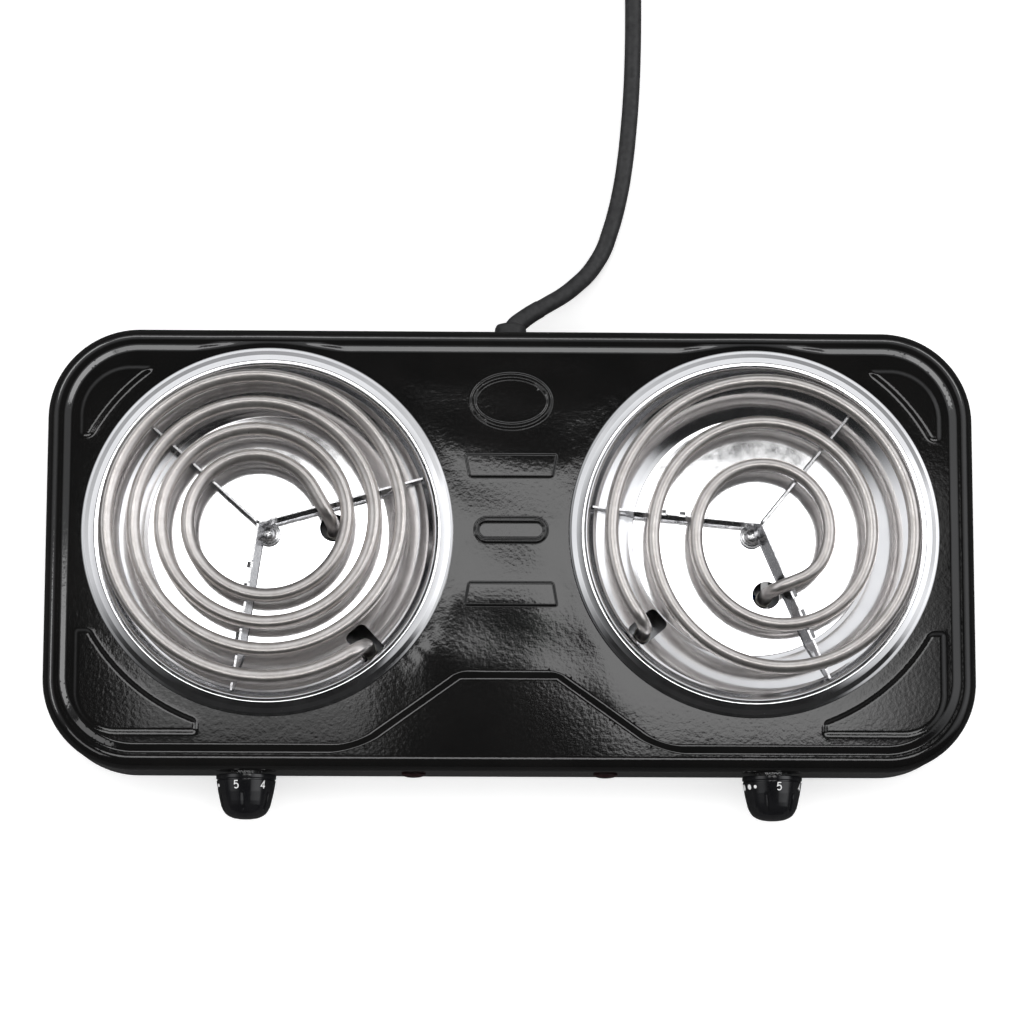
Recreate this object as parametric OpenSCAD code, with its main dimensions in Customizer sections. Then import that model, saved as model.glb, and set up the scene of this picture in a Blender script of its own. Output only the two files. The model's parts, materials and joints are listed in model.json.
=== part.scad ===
// Twin coil hot plate: enamelled steel body, two tubular coil elements over bright drip pans,
// and two thermostat knobs on the front.
// +X is to the right, -Y is the front, +Z is up, and Z = 0 is the table.

/* [Body] */
// Width of the body
body_w = 450; // [440:1:470]
// Depth of the body
body_d = 215; // [212:1:225]
// Height of the top plate above the table
top_z = 58; // [56:1:62]
// Plan radius of the body's corners
corner_r = 44; // [36:1:50]
// Radius of the edge between the top and the skirt
edge_r = 7; // [4:0.5:9]
// Thickness of the pressed steel shell
shell_t = 1; // [0.8:0.1:1.2]
// Height of the rubber feet
foot_h = 11; // [9:1:12]
// Thickness of the base plate
base_t = 1.2; // [1:0.1:1.5]

/* [Burners] */
// Distance of each burner's centre from the middle of the body
burner_x = 117.5; // [116:0.5:120]
// Distance of the burners' centres behind the middle of the body
burner_y = 7.5; // [5:0.5:9]
// Outer radius of a drip pan's rim
rim_r = 89.7; // [88:0.1:91]
// Depth of a drip pan's floor below the top plate
pan_depth = 13.2; // [12:0.2:15]
// Radius of a coil's tube
tube_r = 3.4; // [3.2:0.1:3.5]
// Height of the coils' centreline above the top plate
coil_rise = 5; // [5:0.1:6]

/* [Controls] */
// Distance of each knob's axis from the middle of the body
knob_x = 127.5; // [120:0.5:135]
// Height of the knobs' axes and the lamps above the table
control_z = 33; // [32:0.5:35]
// Largest radius of a knob
knob_r = 14.4; // [13:0.1:15]
// How far a knob reaches in front of the body
knob_reach = 22.5; // [20:0.5:25]
// Radius of a thermostat's shaft
shaft_r = 3; // [2.5:0.1:3]
// Distance of each pilot lamp from the middle of the body
lamp_x = 46.5; // [40:0.5:60]

/* [Cord] */
// Diameter of the power cord
cord_d = 8.4; // [7:0.1:9]
// Radius of the cord's outer turn where it enters the coil
coil_turn_r = 54; // [50:1:56]

/* [Hidden] */
$fn = 96;

// A small gap between parts that sit on each other
gap = 0.05;
// The body's middle, which puts the origin under the middle of the knobs and the body together
body_y = knob_reach / 2;
front_y = -body_d / 2;
back_y = body_d / 2;
skirt_z = foot_h + base_t;
lip_w = 9;
pan_hole_r = 81.6;
sides = [-1, 1];

// The arms' top edge, on which the coil rests, and the coil's centreline
arm_top = top_z + coil_rise - tube_r - gap;
coil_z = top_z + coil_rise;
pan_t = 0.8;
floor_z = top_z - pan_depth;
arm_t = 1;
bend_r = 0.8;
tip_r = 79;
apex_d = 6;
hub_plate_t = 1.2;
hub_hole_r = 2.6;
screw_r = 2;
strap_z = 37;
strap_t = 1.5;
strap_w = 16;
strap_angle = 60;
strap_span = 91;
leg_end_z = 31;
bead_h = 7;
pin_end_z = 19;
leg_bend_r = 9;
// Degrees of turn between two rings of a coil's tube
coil_step = 6;

// Each coil is made of half turns: [first joint's angle, centre of the first half turn, its
// radius, drop in radius per half turn, start angle, end angle, straight run before the inner leg]
coil_left = [213, [-0.3, 7], 78.2, 6.55, 301, -1050, 10];
coil_right = [-21, [4, 1], 73, 10.3, 212, -788, 7];
// Directions of the spider's arms: the two of the bent strip, then the single one
arms_left = [19, 258, 138];
arms_right = [171, 297, 51];
// Holes in the pans for the coils' legs: a round one and a slot that runs in from the rim
inner_hole_r = 6.8;
slot_w = 10.5;
slot_l = 18;

// The cord leaves the bush, bends down to the table and runs back to its coil
cord_r = cord_d / 2;
coil_lift = 0.8;
coil_centre = [8, 370.5];
lead_route = [[5.5, 128.5, 28.6], [12, 134.5, 26], [20, 141, 22], [28.5, 147, 17], [36, 154, 12],
    [42, 162, 8], [46.5, 171, 5.6], [50, 181.5, 4.4], [53, 193.5, 4.2], [56, 208.5, 4.2],
    [58.5, 226.5, 4.2], [60.5, 246.5, 4.2], [62, 268.5, 4.2], [62.6, 292.5, 4.2],
    [62.5, 316.5, 4.4], [62, 344.5, 5]];
tail_route = [[27.3, 337, 13.3], [45, 346.5, 13.8], [63, 354.5, 13.8], [82, 360.5, 11.5],
    [101, 364.5, 8], [120, 367.5, 7], [140, 370, 9.5], [158, 372, 14], [172, 373, 17],
    [184, 373.5, 17.6]];
plug_end = tail_route[len(tail_route) - 1];
plug_turn = 3;

// ---- shapes that repeat ----

// A point at radius r and angle a
function polar(r, a) = [r * cos(a), r * sin(a)];

module in_body() translate([0, body_y, 0]) children();

// A burner's own frame, with its centre on the Z axis
module in_burner(side) in_body() translate([side * burner_x, burner_y, 0]) children();

// A control's own frame: Z points out of the front face, from the face
module on_front(x, z) in_body() translate([x, front_y, z]) rotate([90, 0, 0]) children();

module round_rect(w, d, r) {
    square([w - 2 * r, d], center = true);
    square([w, d - 2 * r], center = true);
    for (x = sides, y = sides) translate([x * (w / 2 - r), y * (d / 2 - r)]) circle(r);
}

// One side of a slab seen from its end, from x = 0 to x = reach, its top edge rounded by e
module edge_profile(reach, h, e) {
    square([reach - e, h]);
    square([reach, h - e]);
    translate([reach - e, h - e]) circle(e);
}

// A slab with plan corners of radius r and a top edge rounded by e
module rounded_slab(w, d, h, r, e) {
    for (a = [0, 180]) rotate([90, 0, a])
        translate([0, 0, -(d / 2 - r)]) linear_extrude(d - 2 * r) edge_profile(w / 2, h, e);
    for (a = [90, 270]) rotate([90, 0, a])
        translate([0, 0, -(w / 2 - r)]) linear_extrude(w - 2 * r) edge_profile(d / 2, h, e);
    for (i = [0:3]) {
        x = (i == 0 || i == 3) ? 1 : -1;
        y = i < 2 ? 1 : -1;
        translate([x * (w / 2 - r), y * (d / 2 - r), 0]) rotate([0, 0, 90 * i])
            rotate_extrude(angle = 90) edge_profile(r, h, e);
    }
}

function unit(v) = v / norm(v);
function across(p, i) = let (d = unit(p[min(i + 1, len(p) - 1)] - p[max(i - 1, 0)])) [d[1], -d[0]];
// An open line given a thickness t on its right side
function thicken(p, t) = concat(p, [for (i = [len(p) - 1:-1:0]) p[i] + t * across(p, i)]);

// Rings of points round a smooth line through the given points, joined into a closed tube
function between(p, i, t) = let (
    a = i > 0 ? p[i - 1] : 2 * p[0] - p[1], b = p[i], c = p[i + 1],
    d = i + 2 < len(p) ? p[i + 2] : 2 * p[i + 1] - p[i])
    0.5 * (2 * b + (c - a) * t + (2 * a - 5 * b + 4 * c - d) * t * t
        + (3 * b - a - 3 * c + d) * t * t * t);
function smooth(p, n) = [for (i = [0:len(p) - 2], k = [0:n - 1]) between(p, i, k / n), p[len(p) - 1]];
function heading(p, i) = unit(p[min(i + 1, len(p) - 1)] - p[max(i - 1, 0)]);
function tube_ring(p, i, r, n) = let (
    h = heading(p, i), u = unit(cross([0, 0, 1], h)), v = cross(h, u))
    [for (k = [0:n - 1]) p[i] + r * (cos(360 * k / n) * u + sin(360 * k / n) * v)];
module tube(p, radii, n) {
    m = len(p);
    polyhedron(
        points = [for (i = [0:m - 1]) each tube_ring(p, i, radii[min(i, len(radii) - 1)], n)],
        faces = concat([[for (k = [0:n - 1]) k]],
            [[for (k = [n - 1:-1:0]) (m - 1) * n + k]],
            [for (i = [0:m - 2], k = [0:n - 1])
                [i * n + k, (i + 1) * n + k, (i + 1) * n + (k + 1) % n, i * n + (k + 1) % n]]),
        convexity = 6);
}

// ---- body ----

function screw_places() = [for (x = [-170, 0, 170], y = sides) [x, y * (body_d / 2 - lip_w / 2 - 0.5)]];
function foot_places() = [for (x = sides, y = sides) [x * 188, y * 72]];

// An oval outline
module oval(w, d) polygon([for (a = [0:7.5:352.5]) [w / 2 * cos(a), d / 2 * sin(a)]]);

// A raised bar whose back edge is wider or narrower than its front edge
module bar(back_w, front_w, d) polygon([[-front_w / 2, -d / 2], [front_w / 2, -d / 2],
    [back_w / 2, d / 2], [-back_w / 2, d / 2]]);

// The raised marks down the middle of the top plate
module top_marks(h) {
    translate([0, 71.7, -0.2]) linear_extrude(h + 0.2) difference() {
        oval(40, 28);
        oval(34.5, 21.5);
    }
    translate([0, 39.9, -0.2]) linear_extrude(h + 0.2) bar(45, 40.5, 11.5);
    translate([0, 8.4, -0.2]) linear_extrude(h + 0.2) difference() {
        round_rect(35.5, 12.6, 6.2);
        round_rect(31.3, 7.4, 3.6);
    }
    translate([0, -22.7, -0.2]) linear_extrude(h + 0.2) bar(41, 45, 11.5);
}

module top_housing() color("#141414") in_body() {
    difference() {
        translate([0, 0, skirt_z])
            rounded_slab(body_w, body_d, top_z - skirt_z, corner_r, edge_r);
        translate([0, 0, skirt_z - 1])
            rounded_slab(body_w - 2 * shell_t, body_d - 2 * shell_t, top_z - skirt_z + 1 - shell_t,
                corner_r - shell_t, edge_r - shell_t);
        for (s = sides) translate([s * burner_x, burner_y, top_z - 5]) cylinder(h = 10, r = pan_hole_r);
        for (s = sides) translate([s * knob_x, front_y - 1, control_z])
            rotate([-90, 0, 0]) cylinder(h = 5, r = 5.3);
        for (s = sides) translate([s * lamp_x, front_y - 1, control_z])
            rotate([-90, 0, 0]) cylinder(h = 5, r = 4.1);
        translate([0, back_y - 3, 30]) rotate([-90, 0, 0]) cylinder(h = 5, r = 7);
    }
    // The lip that the base plate is screwed to
    translate([0, 0, skirt_z]) linear_extrude(shell_t) difference() {
        round_rect(body_w - 1, body_d - 1, corner_r - 0.5);
        round_rect(body_w - 2 * lip_w, body_d - 2 * lip_w, corner_r - lip_w);
        for (p = screw_places()) translate(p) circle(1.5);
    }
    translate([0, 0, top_z]) top_marks(0.8);
}

module base_plate() color("silver") in_body() difference() {
    translate([0, 0, foot_h]) linear_extrude(base_t - gap)
        round_rect(body_w - 3, body_d - 3, corner_r - 1.5);
    for (p = screw_places()) translate([p[0], p[1], foot_h - 1]) cylinder(h = 4, r = 2);
    for (p = foot_places()) translate([p[0], p[1], foot_h - 1]) cylinder(h = 4, r = 2.2);
    // Cooling slots under each burner
    for (s = sides, row = sides, i = [-4:4])
        translate([s * burner_x + i * 9, burner_y + row * 28, foot_h - 1]) linear_extrude(4)
            round_rect(3.6, 34, 1.75);
    translate([-20, -60, foot_h - 1]) cylinder(h = 4, r = 2.1);
}

module feet() color("#1c1c1c") in_body() for (p = foot_places()) translate([p[0], p[1], 0])
    difference() {
        rotate_extrude() polygon([[0, 0], [8.5, 0], [9.5, 1], [11, foot_h - gap], [0, foot_h - gap]]);
        translate([0, 0, -1]) cylinder(h = foot_h - 2, r = 4.5);
        cylinder(h = foot_h + 1, r = 2.2);
    }

module pan_head(r, h, shank_r, l) {
    rotate_extrude() polygon([[0, 0], [r, 0], [r, h * 0.5], [r * 0.7, h], [0, h]]);
    translate([0, 0, -l]) cylinder(h = l + 0.1, r = shank_r);
}

module foot_screws() color("#c8c8c8") in_body() for (p = foot_places())
    translate([p[0], p[1], foot_h - 3 - gap]) rotate([180, 0, 0]) pan_head(4, 2.5, 2.1, base_t + 5.5);

module base_screws() color("#c8c8c8") in_body() for (p = screw_places())
    translate([p[0], p[1], foot_h - gap]) rotate([180, 0, 0]) pan_head(3.2, 2, 1.45, 6);

module earth_screw() color("goldenrod") in_body() translate([-20, -60, foot_h - gap])
    rotate([180, 0, 0]) pan_head(3.6, 2.2, 2, 8);

// ---- burners ----

pan_line = [[hub_hole_r, -pan_depth], [59, -pan_depth], [60.6, -pan_depth + 0.9], [76.6, -3.7],
    [77.9, -3.3], [79.8, 1.2], [80.9, 2.5], [82.6, 3.1], [84.6, 2.9], [rim_r, pan_t + 0.05]];

module drip_pan(side, c) color("#e8e8ea") in_burner(side) difference() {
    inner = inner_leg(c);
    outer = outer_leg(c);
    translate([0, 0, top_z]) rotate_extrude() polygon(thicken(pan_line, pan_t));
    translate([inner[0], inner[1], floor_z - 3]) cylinder(h = 8, r = inner_hole_r);
    rotate([0, 0, atan2(outer[1], outer[0])]) translate([norm(outer) - 2, 0, floor_z - 5])
        linear_extrude(20) round_rect(slot_l, slot_w, 3);
}

// Angle of the joint before half turn i, and the half turn's centre and radius
function joint_angle(c, i) = c[0] - 180 * (i - 1);
function turn_centre(c, i) = i % 2 == 0 ? c[1] : c[1] + polar(c[3], c[0]);
function turn_r(c, i) = c[2] - i * c[3];
function turn_of(c, a) = a > c[0] ? 0 : 1 + floor((c[0] - a) / 180);
function coil_point(c, a) = turn_centre(c, turn_of(c, a)) + polar(turn_r(c, turn_of(c, a)), a);

// Plan places of a coil's two vertical legs
function outer_leg(c) = coil_point(c, c[4]) + polar(leg_bend_r + 1, c[4] + 90);
function inner_leg(c) = coil_point(c, c[5]) + polar(leg_bend_r + c[6], c[5] - 90);

// A straight run from a coil's end, a quarter bend and a vertical leg, from the coil downwards
function leg(p, angle, run) = concat(
    [for (a = [15:15:90]) let (q = p + polar(run + leg_bend_r * sin(a), angle))
        [q[0], q[1], coil_z - leg_bend_r * (1 - cos(a))]],
    let (q = p + polar(run + leg_bend_r + 0.01, angle))
        [[q[0], q[1], coil_z - leg_bend_r - 10], [q[0] + 0.01, q[1], leg_end_z]]);
function reversed(p) = [for (i = [len(p) - 1:-1:0]) p[i]];
function element_line(c) = concat(reversed(leg(coil_point(c, c[4]), c[4] + 90, 1)),
    [for (a = [c[4]:-coil_step:c[5] + coil_step / 2]) let (q = coil_point(c, a)) [q[0], q[1], coil_z]],
    leg(coil_point(c, c[5]), c[5] - 90, c[6]));

module element(side, c) color("#b8b3ad") in_burner(side) tube(element_line(c), [tube_r], 10);

module element_beads(side, c) color("ivory") in_burner(side)
    for (p = [outer_leg(c), inner_leg(c)]) translate([p[0], p[1], leg_end_z - bead_h])
        difference() {
            cylinder(h = bead_h - gap, r = 4);
            translate([0, 0, -1]) cylinder(h = bead_h + 2, r = 1.55);
        }

module element_pins(side, c) color("#c9c9c9") in_burner(side)
    for (p = [outer_leg(c), inner_leg(c)]) translate([p[0], p[1], pin_end_z])
        cylinder(h = leg_end_z - pin_end_z - gap, r = 1.5);

// A spider arm's side: it stands on edge, and its tip rests inside the pan's rim
module arm_side(l, foot) polygon([[foot, arm_top], [foot, floor_z + 3.2], [l - 19, floor_z + 3.2],
    [l - 15.5, top_z - 3], [l - 1.1, top_z - 3], [l, arm_top]]);

module arm(from, angle, foot) {
    run = polar(tip_r, angle) - from;
    translate([from[0], from[1], 0]) rotate([0, 0, atan2(run[1], run[0])])
        rotate([90, 0, 0]) translate([0, 0, -arm_t / 2]) linear_extrude(arm_t)
            arm_side(norm(run), foot);
}

module spider_strip(side, arms) color("#d8d8da") in_burner(side) {
    apex = polar(apex_d, arms[2]);
    arm(apex, arms[0], 0);
    arm(apex, arms[1], 0);
    translate([apex[0], apex[1], floor_z + gap]) cylinder(h = arm_top - floor_z - gap, r = bend_r);
    // The lug under the hub screw, turned in from the strip's lower edge
    difference() {
        translate([0, 0, floor_z + gap]) union() {
            cylinder(h = hub_plate_t, r = 6);
            rotate([0, 0, arms[2]]) translate([0, -3, 0]) cube([apex_d, 6, hub_plate_t]);
        }
        translate([0, 0, floor_z - 1]) cylinder(h = 5, r = 2.2);
    }
}

module spider_arm(side, arms) color("#d8d8da") in_burner(side)
    arm(polar(apex_d, arms[2]), arms[2], bend_r + 0.3);

module hub_screw(side) color("#e0e0e0") in_burner(side)
    translate([0, 0, floor_z + hub_plate_t + 2 * gap]) difference() {
        pan_head(3.9, 2.6, screw_r, floor_z + hub_plate_t - strap_z + 8);
        translate([-3, -0.5, 1.6]) cube([6, 1, 3]);
        translate([-0.5, -3, 1.6]) cube([1, 6, 3]);
    }

module hub_nut(side) color("#c8c8c8") in_burner(side)
    translate([0, 0, strap_z - strap_t - 3.2 - gap]) difference() {
        cylinder(h = 3.2, r = 4.04, $fn = 6);
        translate([0, 0, -1]) cylinder(h = 6, r = screw_r + gap);
    }

// The strap that pulls the pan down: a bar under the pan, with its ends under the top plate
module pan_strap(side) color("#b5b5b0") in_burner(side) rotate([0, 0, strap_angle]) difference() {
    rotate([90, 0, 0]) translate([0, 0, -strap_w / 2]) linear_extrude(strap_w) {
        translate([-strap_span, strap_z - strap_t]) square([2 * strap_span, strap_t]);
        for (s = [0, 1]) mirror([s, 0]) {
            translate([strap_span - strap_t, strap_z - strap_t])
                square([strap_t, top_z - shell_t - gap - strap_z + strap_t]);
            translate([strap_span - 6.5, top_z - shell_t - gap - strap_t]) square([6.5, strap_t]);
        }
    }
    translate([0, 0, strap_z - 5]) cylinder(h = 10, r = 2.2);
}

// ---- controls ----

bush_r = 5;

module thermostat(side) color("#b9b4a5") on_front(side * knob_x, control_z) difference() {
    union() {
        translate([0, 0, -shell_t - gap - 1.5]) linear_extrude(1.5) round_rect(26, 34, 3);
        translate([-9, -13, -23]) cube([18, 26, 23 - shell_t - 1.5]);
        translate([0, 0, -shell_t - 2]) cylinder(h = shell_t + 5.5, r = bush_r);
        // Contact blades with their tabs
        for (s = sides) translate([s * 5 - 2.4, -19, -19]) cube([4.8, 8, 0.8]);
    }
    translate([0, 0, -19.5]) cylinder(h = 30, r = shaft_r + gap);
}

module thermostat_nut(side) color("#c8c8c8") on_front(side * knob_x, control_z)
    translate([0, 0, gap]) difference() {
        cylinder(h = 2.4, r = 8, $fn = 6);
        translate([0, 0, -1]) cylinder(h = 5, r = bush_r + gap);
    }

module control_shaft(side) color("#d0d0d0") on_front(side * knob_x, control_z) difference() {
    translate([0, 0, -19]) cylinder(h = 19 + 15, r = shaft_r);
    translate([-5, shaft_r - 1, 6]) cube([10, 5, 15]);
}

module knob_profile() polygon([[0, 1], [knob_r, 1], [knob_r, 3.6], [knob_r - 0.7, 4.1],
    [knob_r - 0.5, 4.6], [knob_r - 2, 14], [knob_r - 2.6, 16.3], [knob_r - 3.7, 18.5],
    [knob_r - 4.8, 19.9], [knob_r - 6.2, 20.9], [knob_r - 8.6, 22], [0, knob_reach]]);

module knob(side, flute_turn) color("#101012") on_front(side * knob_x, control_z) difference() {
    rotate_extrude() knob_profile();
    // Hollow back over the nut, and the shaft's D-shaped socket
    translate([0, 0, 0]) cylinder(h = 6, r = 10);
    difference() {
        cylinder(h = 15.5, r = shaft_r + gap);
        translate([-5, shaft_r - 1 + gap, 6]) cube([10, 5, 15]);
    }
    // Grip flutes
    for (a = [0:60:300]) rotate([0, 0, flute_turn + a]) translate([knob_r - 2.3, -0.8, 9.5])
        cube([5, 1.6, 9]);
}

module lamp_lens(side) color("#5a1410") on_front(side * lamp_x, control_z) {
    rotate_extrude() polygon([[0, gap], [6, gap], [6, 1], [4.8, 2], [2.6, 2.7], [0, 2.9]]);
    translate([0, 0, -6]) cylinder(h = 6 + 2 * gap, r = 4);
}

module lamp_body(side) color("#e8e4d8") on_front(side * lamp_x, control_z) difference() {
    translate([0, 0, -21]) cylinder(h = 21 - shell_t - gap, r = 5.6);
    translate([0, 0, -6 - gap]) cylinder(h = 8, r = 4 + gap);
}

// ---- wiring ----

module terminal_block() color("ivory") in_body() translate([-18, 70, skirt_z]) difference() {
    cube([36, 18, 14]);
    for (i = [0:2]) translate([6 + 12 * i, -1, 6]) rotate([-90, 0, 0]) cylinder(h = 20, r = 2.6);
    for (i = [0:2], y = [5, 13]) translate([6 + 12 * i, y, 6]) cylinder(h = 10, r = 2.05);
}

module terminal_screws() color("goldenrod") in_body() translate([-18, 70, skirt_z])
    for (i = [0:2], y = [5, 13]) translate([6 + 12 * i, y, 8.7]) cylinder(h = 4.5, r = 2);

wire_r = 1.3;

module wire(p, r = wire_r) tube(smooth(p, 3), [r], 8);

// Wires run from the terminal block through the thermostats to the elements' pins
wire_start = [69.4, skirt_z + 6];

module live_wires() color("saddlebrown") in_body() for (s = sides) {
    out = s < 0 ? outer_leg(coil_left) : outer_leg(coil_right);
    wire([[s * 1.5 - 12, wire_start[0], wire_start[1]], [s * 5 - 12, 40, 17.6], [s * 22, -30, 17.6],
        [s * 90, -80, 17.6], [s * (knob_x - 5), front_y + 20.4, 16]]);
    wire([[s * (knob_x + 5), front_y + 20.4, 16], [s * (knob_x + 2), -70, 16],
        [s * burner_x + out[0], burner_y + out[1] - 9, 16],
        [s * burner_x + out[0], burner_y + out[1], 17.4]]);
}

module neutral_wires() color("royalblue") in_body() for (s = sides) {
    in = s < 0 ? inner_leg(coil_left) : inner_leg(coil_right);
    wire([[s * 1.5, wire_start[0], wire_start[1]], [s * 8, 56, 20.8], [s * 45, 36, 20.8],
        [s * burner_x + in[0] - s * 9, burner_y + in[1] + 6, 17.6],
        [s * burner_x + in[0], burner_y + in[1], 17.4]]);
}

module earth_wire() color("limegreen") in_body() wire([[12, wire_start[0], wire_start[1]],
    [12, 52, 14.6], [10, 30, 14.3], [0, -20, 14.3], [-17, -50, 14.3], [-19, -56, 14.6]]);

// ---- cord ----

// The cord's strain relief: flanges either side of the back wall and a short tapered sleeve
module cord_bush() color("#181818") in_body() {
    translate([0, back_y, 30]) rotate([-90, 0, 0]) {
        translate([0, 0, gap]) cylinder(h = 2, r = 8.2);
        translate([0, 0, -9]) cylinder(h = 9.5, r = 6.9);
    }
    translate([0, -body_y, 0]) tube([[0, 119, 30], [1.2, 121.5, 29.9], [3, 125, 29.5],
        lead_route[0]], [6.6, 6.2, 5.6, 4.9], 16);
}

module bush_collar() color("#303030") in_body() translate([0, back_y - shell_t - gap, 30])
    rotate([90, 0, 0]) difference() {
        cylinder(h = 4, r = 10);
        translate([0, 0, -1]) cylinder(h = 6, r = 6.9 + gap);
    }

module power_cord() color("#1a1a1a") tube(smooth(lead_route, 2), [cord_r], 10);

module cord_coil() color("#1a1a1a") translate([coil_centre[0], coil_centre[1], coil_lift])
    rotate_extrude() translate([coil_turn_r - 5 * cord_r, 0]) square([6 * cord_r, cord_d]);

module cord_tail() color("#1a1a1a") tube(smooth(tail_route, 2), [cord_r], 10);

// A flat strap round the coil's turns
module cord_tie() color("#262626") translate([coil_centre[0], coil_centre[1], 0])
    rotate([0, 0, 150]) difference() {
        translate([coil_turn_r - 5 * cord_r - 1, -4, 0]) cube([6 * cord_r + 2, 8, cord_d + 1.8]);
        difference() {
            translate([0, 0, coil_lift]) cylinder(h = cord_d, r = coil_turn_r + cord_r);
            cylinder(h = 20, r = coil_turn_r - 5 * cord_r);
        }
    }

module at_plug() translate(plug_end) rotate([0, 0, plug_turn]) rotate([0, 90, 0]) children();

// A moulded two-pin plug lying on its side
module plug_body() color("#1a1a1a") at_plug() rotate_extrude()
    polygon([[0, 0], [5.2, 0], [6.4, 16], [8, 20], [13, 25], [17.5, 28], [17.5, 46], [16.5, 47], [0, 47]]);

module plug_pins() color("#d6d6d6") at_plug() for (s = sides) translate([0, s * 9.5, 47]) {
    cylinder(h = 17, r = 2.4);
    translate([0, 0, 17]) cylinder(h = 2, r1 = 2.4, r2 = 1.2);
}

top_housing();
base_plate();
feet();
foot_screws();
base_screws();
earth_screw();
drip_pan(-1, coil_left);  // drip_pan_left
drip_pan(1, coil_right);  // drip_pan_right
element(-1, coil_left);  // element_left
element(1, coil_right);  // element_right
element_beads(-1, coil_left);  // element_beads_left
element_beads(1, coil_right);  // element_beads_right
element_pins(-1, coil_left);  // element_pins_left
element_pins(1, coil_right);  // element_pins_right
spider_strip(-1, arms_left);  // spider_strip_left
spider_strip(1, arms_right);  // spider_strip_right
spider_arm(-1, arms_left);  // spider_arm_left
spider_arm(1, arms_right);  // spider_arm_right
hub_screw(-1);  // hub_screw_left
hub_screw(1);  // hub_screw_right
hub_nut(-1);  // hub_nut_left
hub_nut(1);  // hub_nut_right
pan_strap(-1);  // pan_strap_left
pan_strap(1);  // pan_strap_right
thermostat(-1);  // thermostat_left
thermostat(1);  // thermostat_right
thermostat_nut(-1);  // thermostat_nut_left
thermostat_nut(1);  // thermostat_nut_right
control_shaft(-1);  // control_shaft_left
control_shaft(1);  // control_shaft_right
knob(-1, 35);  // knob_left
knob(1, 47);  // knob_right
lamp_lens(-1);  // lamp_lens_left
lamp_lens(1);  // lamp_lens_right
lamp_body(-1);  // lamp_body_left
lamp_body(1);  // lamp_body_right
terminal_block();
terminal_screws();
live_wires();
neutral_wires();
earth_wire();
cord_bush();
bush_collar();
power_cord();
cord_coil();
cord_tail();
cord_tie();
plug_body();
plug_pins();
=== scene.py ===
"""Twin coil hot plate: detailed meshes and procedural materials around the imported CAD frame.

Lengths are in millimetres until a mesh is made, which puts them in metres. Every mesh keeps its
place in its vertices, so Object coordinates are the row frame at rest.
"""
import json
import math
from collections import namedtuple

import bpy
import numpy as np
from mathutils import Euler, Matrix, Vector
from mathutils.geometry import delaunay_2d_cdt


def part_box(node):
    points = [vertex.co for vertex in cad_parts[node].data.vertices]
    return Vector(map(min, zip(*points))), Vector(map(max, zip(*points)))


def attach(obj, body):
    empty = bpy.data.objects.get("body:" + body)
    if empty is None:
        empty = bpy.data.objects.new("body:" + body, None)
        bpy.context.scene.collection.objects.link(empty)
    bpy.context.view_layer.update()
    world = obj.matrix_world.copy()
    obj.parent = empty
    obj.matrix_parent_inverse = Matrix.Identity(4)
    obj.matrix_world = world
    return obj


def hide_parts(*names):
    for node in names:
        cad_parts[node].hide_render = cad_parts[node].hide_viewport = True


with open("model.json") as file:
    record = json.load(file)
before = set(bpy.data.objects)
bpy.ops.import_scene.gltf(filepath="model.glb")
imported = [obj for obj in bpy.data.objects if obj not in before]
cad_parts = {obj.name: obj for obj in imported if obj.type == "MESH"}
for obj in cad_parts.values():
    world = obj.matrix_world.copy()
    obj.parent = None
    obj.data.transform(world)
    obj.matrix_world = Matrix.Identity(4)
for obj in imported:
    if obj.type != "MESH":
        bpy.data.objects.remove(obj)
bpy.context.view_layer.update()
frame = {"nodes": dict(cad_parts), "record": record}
nodes = frame["nodes"]
MM = 0.001
scene = bpy.context.scene

# ---- camera ----

camera = bpy.data.objects.new("camera", bpy.data.cameras.new("camera"))
scene.collection.objects.link(camera)
camera.location = (-0.0290, -0.21575, 1.6915)
camera.rotation_euler = Euler([math.radians(a) for a in (8.5, -1.054, 0.145)])
camera.data.lens = 120.2
camera.data.clip_end = 20
scene.camera = camera

# ---- places from the CAD ----


def centre_of(node):
    low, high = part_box(node)
    return (low + high) / 2 / MM


SIDES = ("left", "right")
shell_low, shell_high = (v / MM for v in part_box("top_housing"))
MARK_RISE = 0.8
TOP = shell_high.z - MARK_RISE
SKIRT = shell_low.z
HALF_W = shell_high.x
BODY_Y = (shell_low.y + shell_high.y) / 2
HALF_D = (shell_high.y - shell_low.y) / 2
FRONT = shell_low.y
BURNERS = {side: centre_of("hub_screw_" + side) for side in SIDES}
PAN_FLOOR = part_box("drip_pan_left")[0].z / MM + 0.8
TUBE_R = 3.4
COIL_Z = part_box("element_left")[1].z / MM - TUBE_R
ARM_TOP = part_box("spider_strip_left")[1].z / MM


# ---- mesh tools ----


def polar(r, degrees):
    """The plan point at a distance and an angle, anticlockwise from +X."""
    a = math.radians(degrees)
    return np.array([r * math.cos(a), r * math.sin(a)])


def lifted(point, z=0.0):
    return np.array([point[0], point[1], z])


def unit(v):
    return v / np.linalg.norm(v)


def unit_rows(rows):
    return rows / np.linalg.norm(rows, axis=1)[:, None]


def turns_of(count):
    return np.arange(count) * 2 * math.pi / count


def smoothstep(low, high, x):
    t = np.clip((x - low) / (high - low), 0, 1)
    return t * t * (3 - 2 * t)


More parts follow.
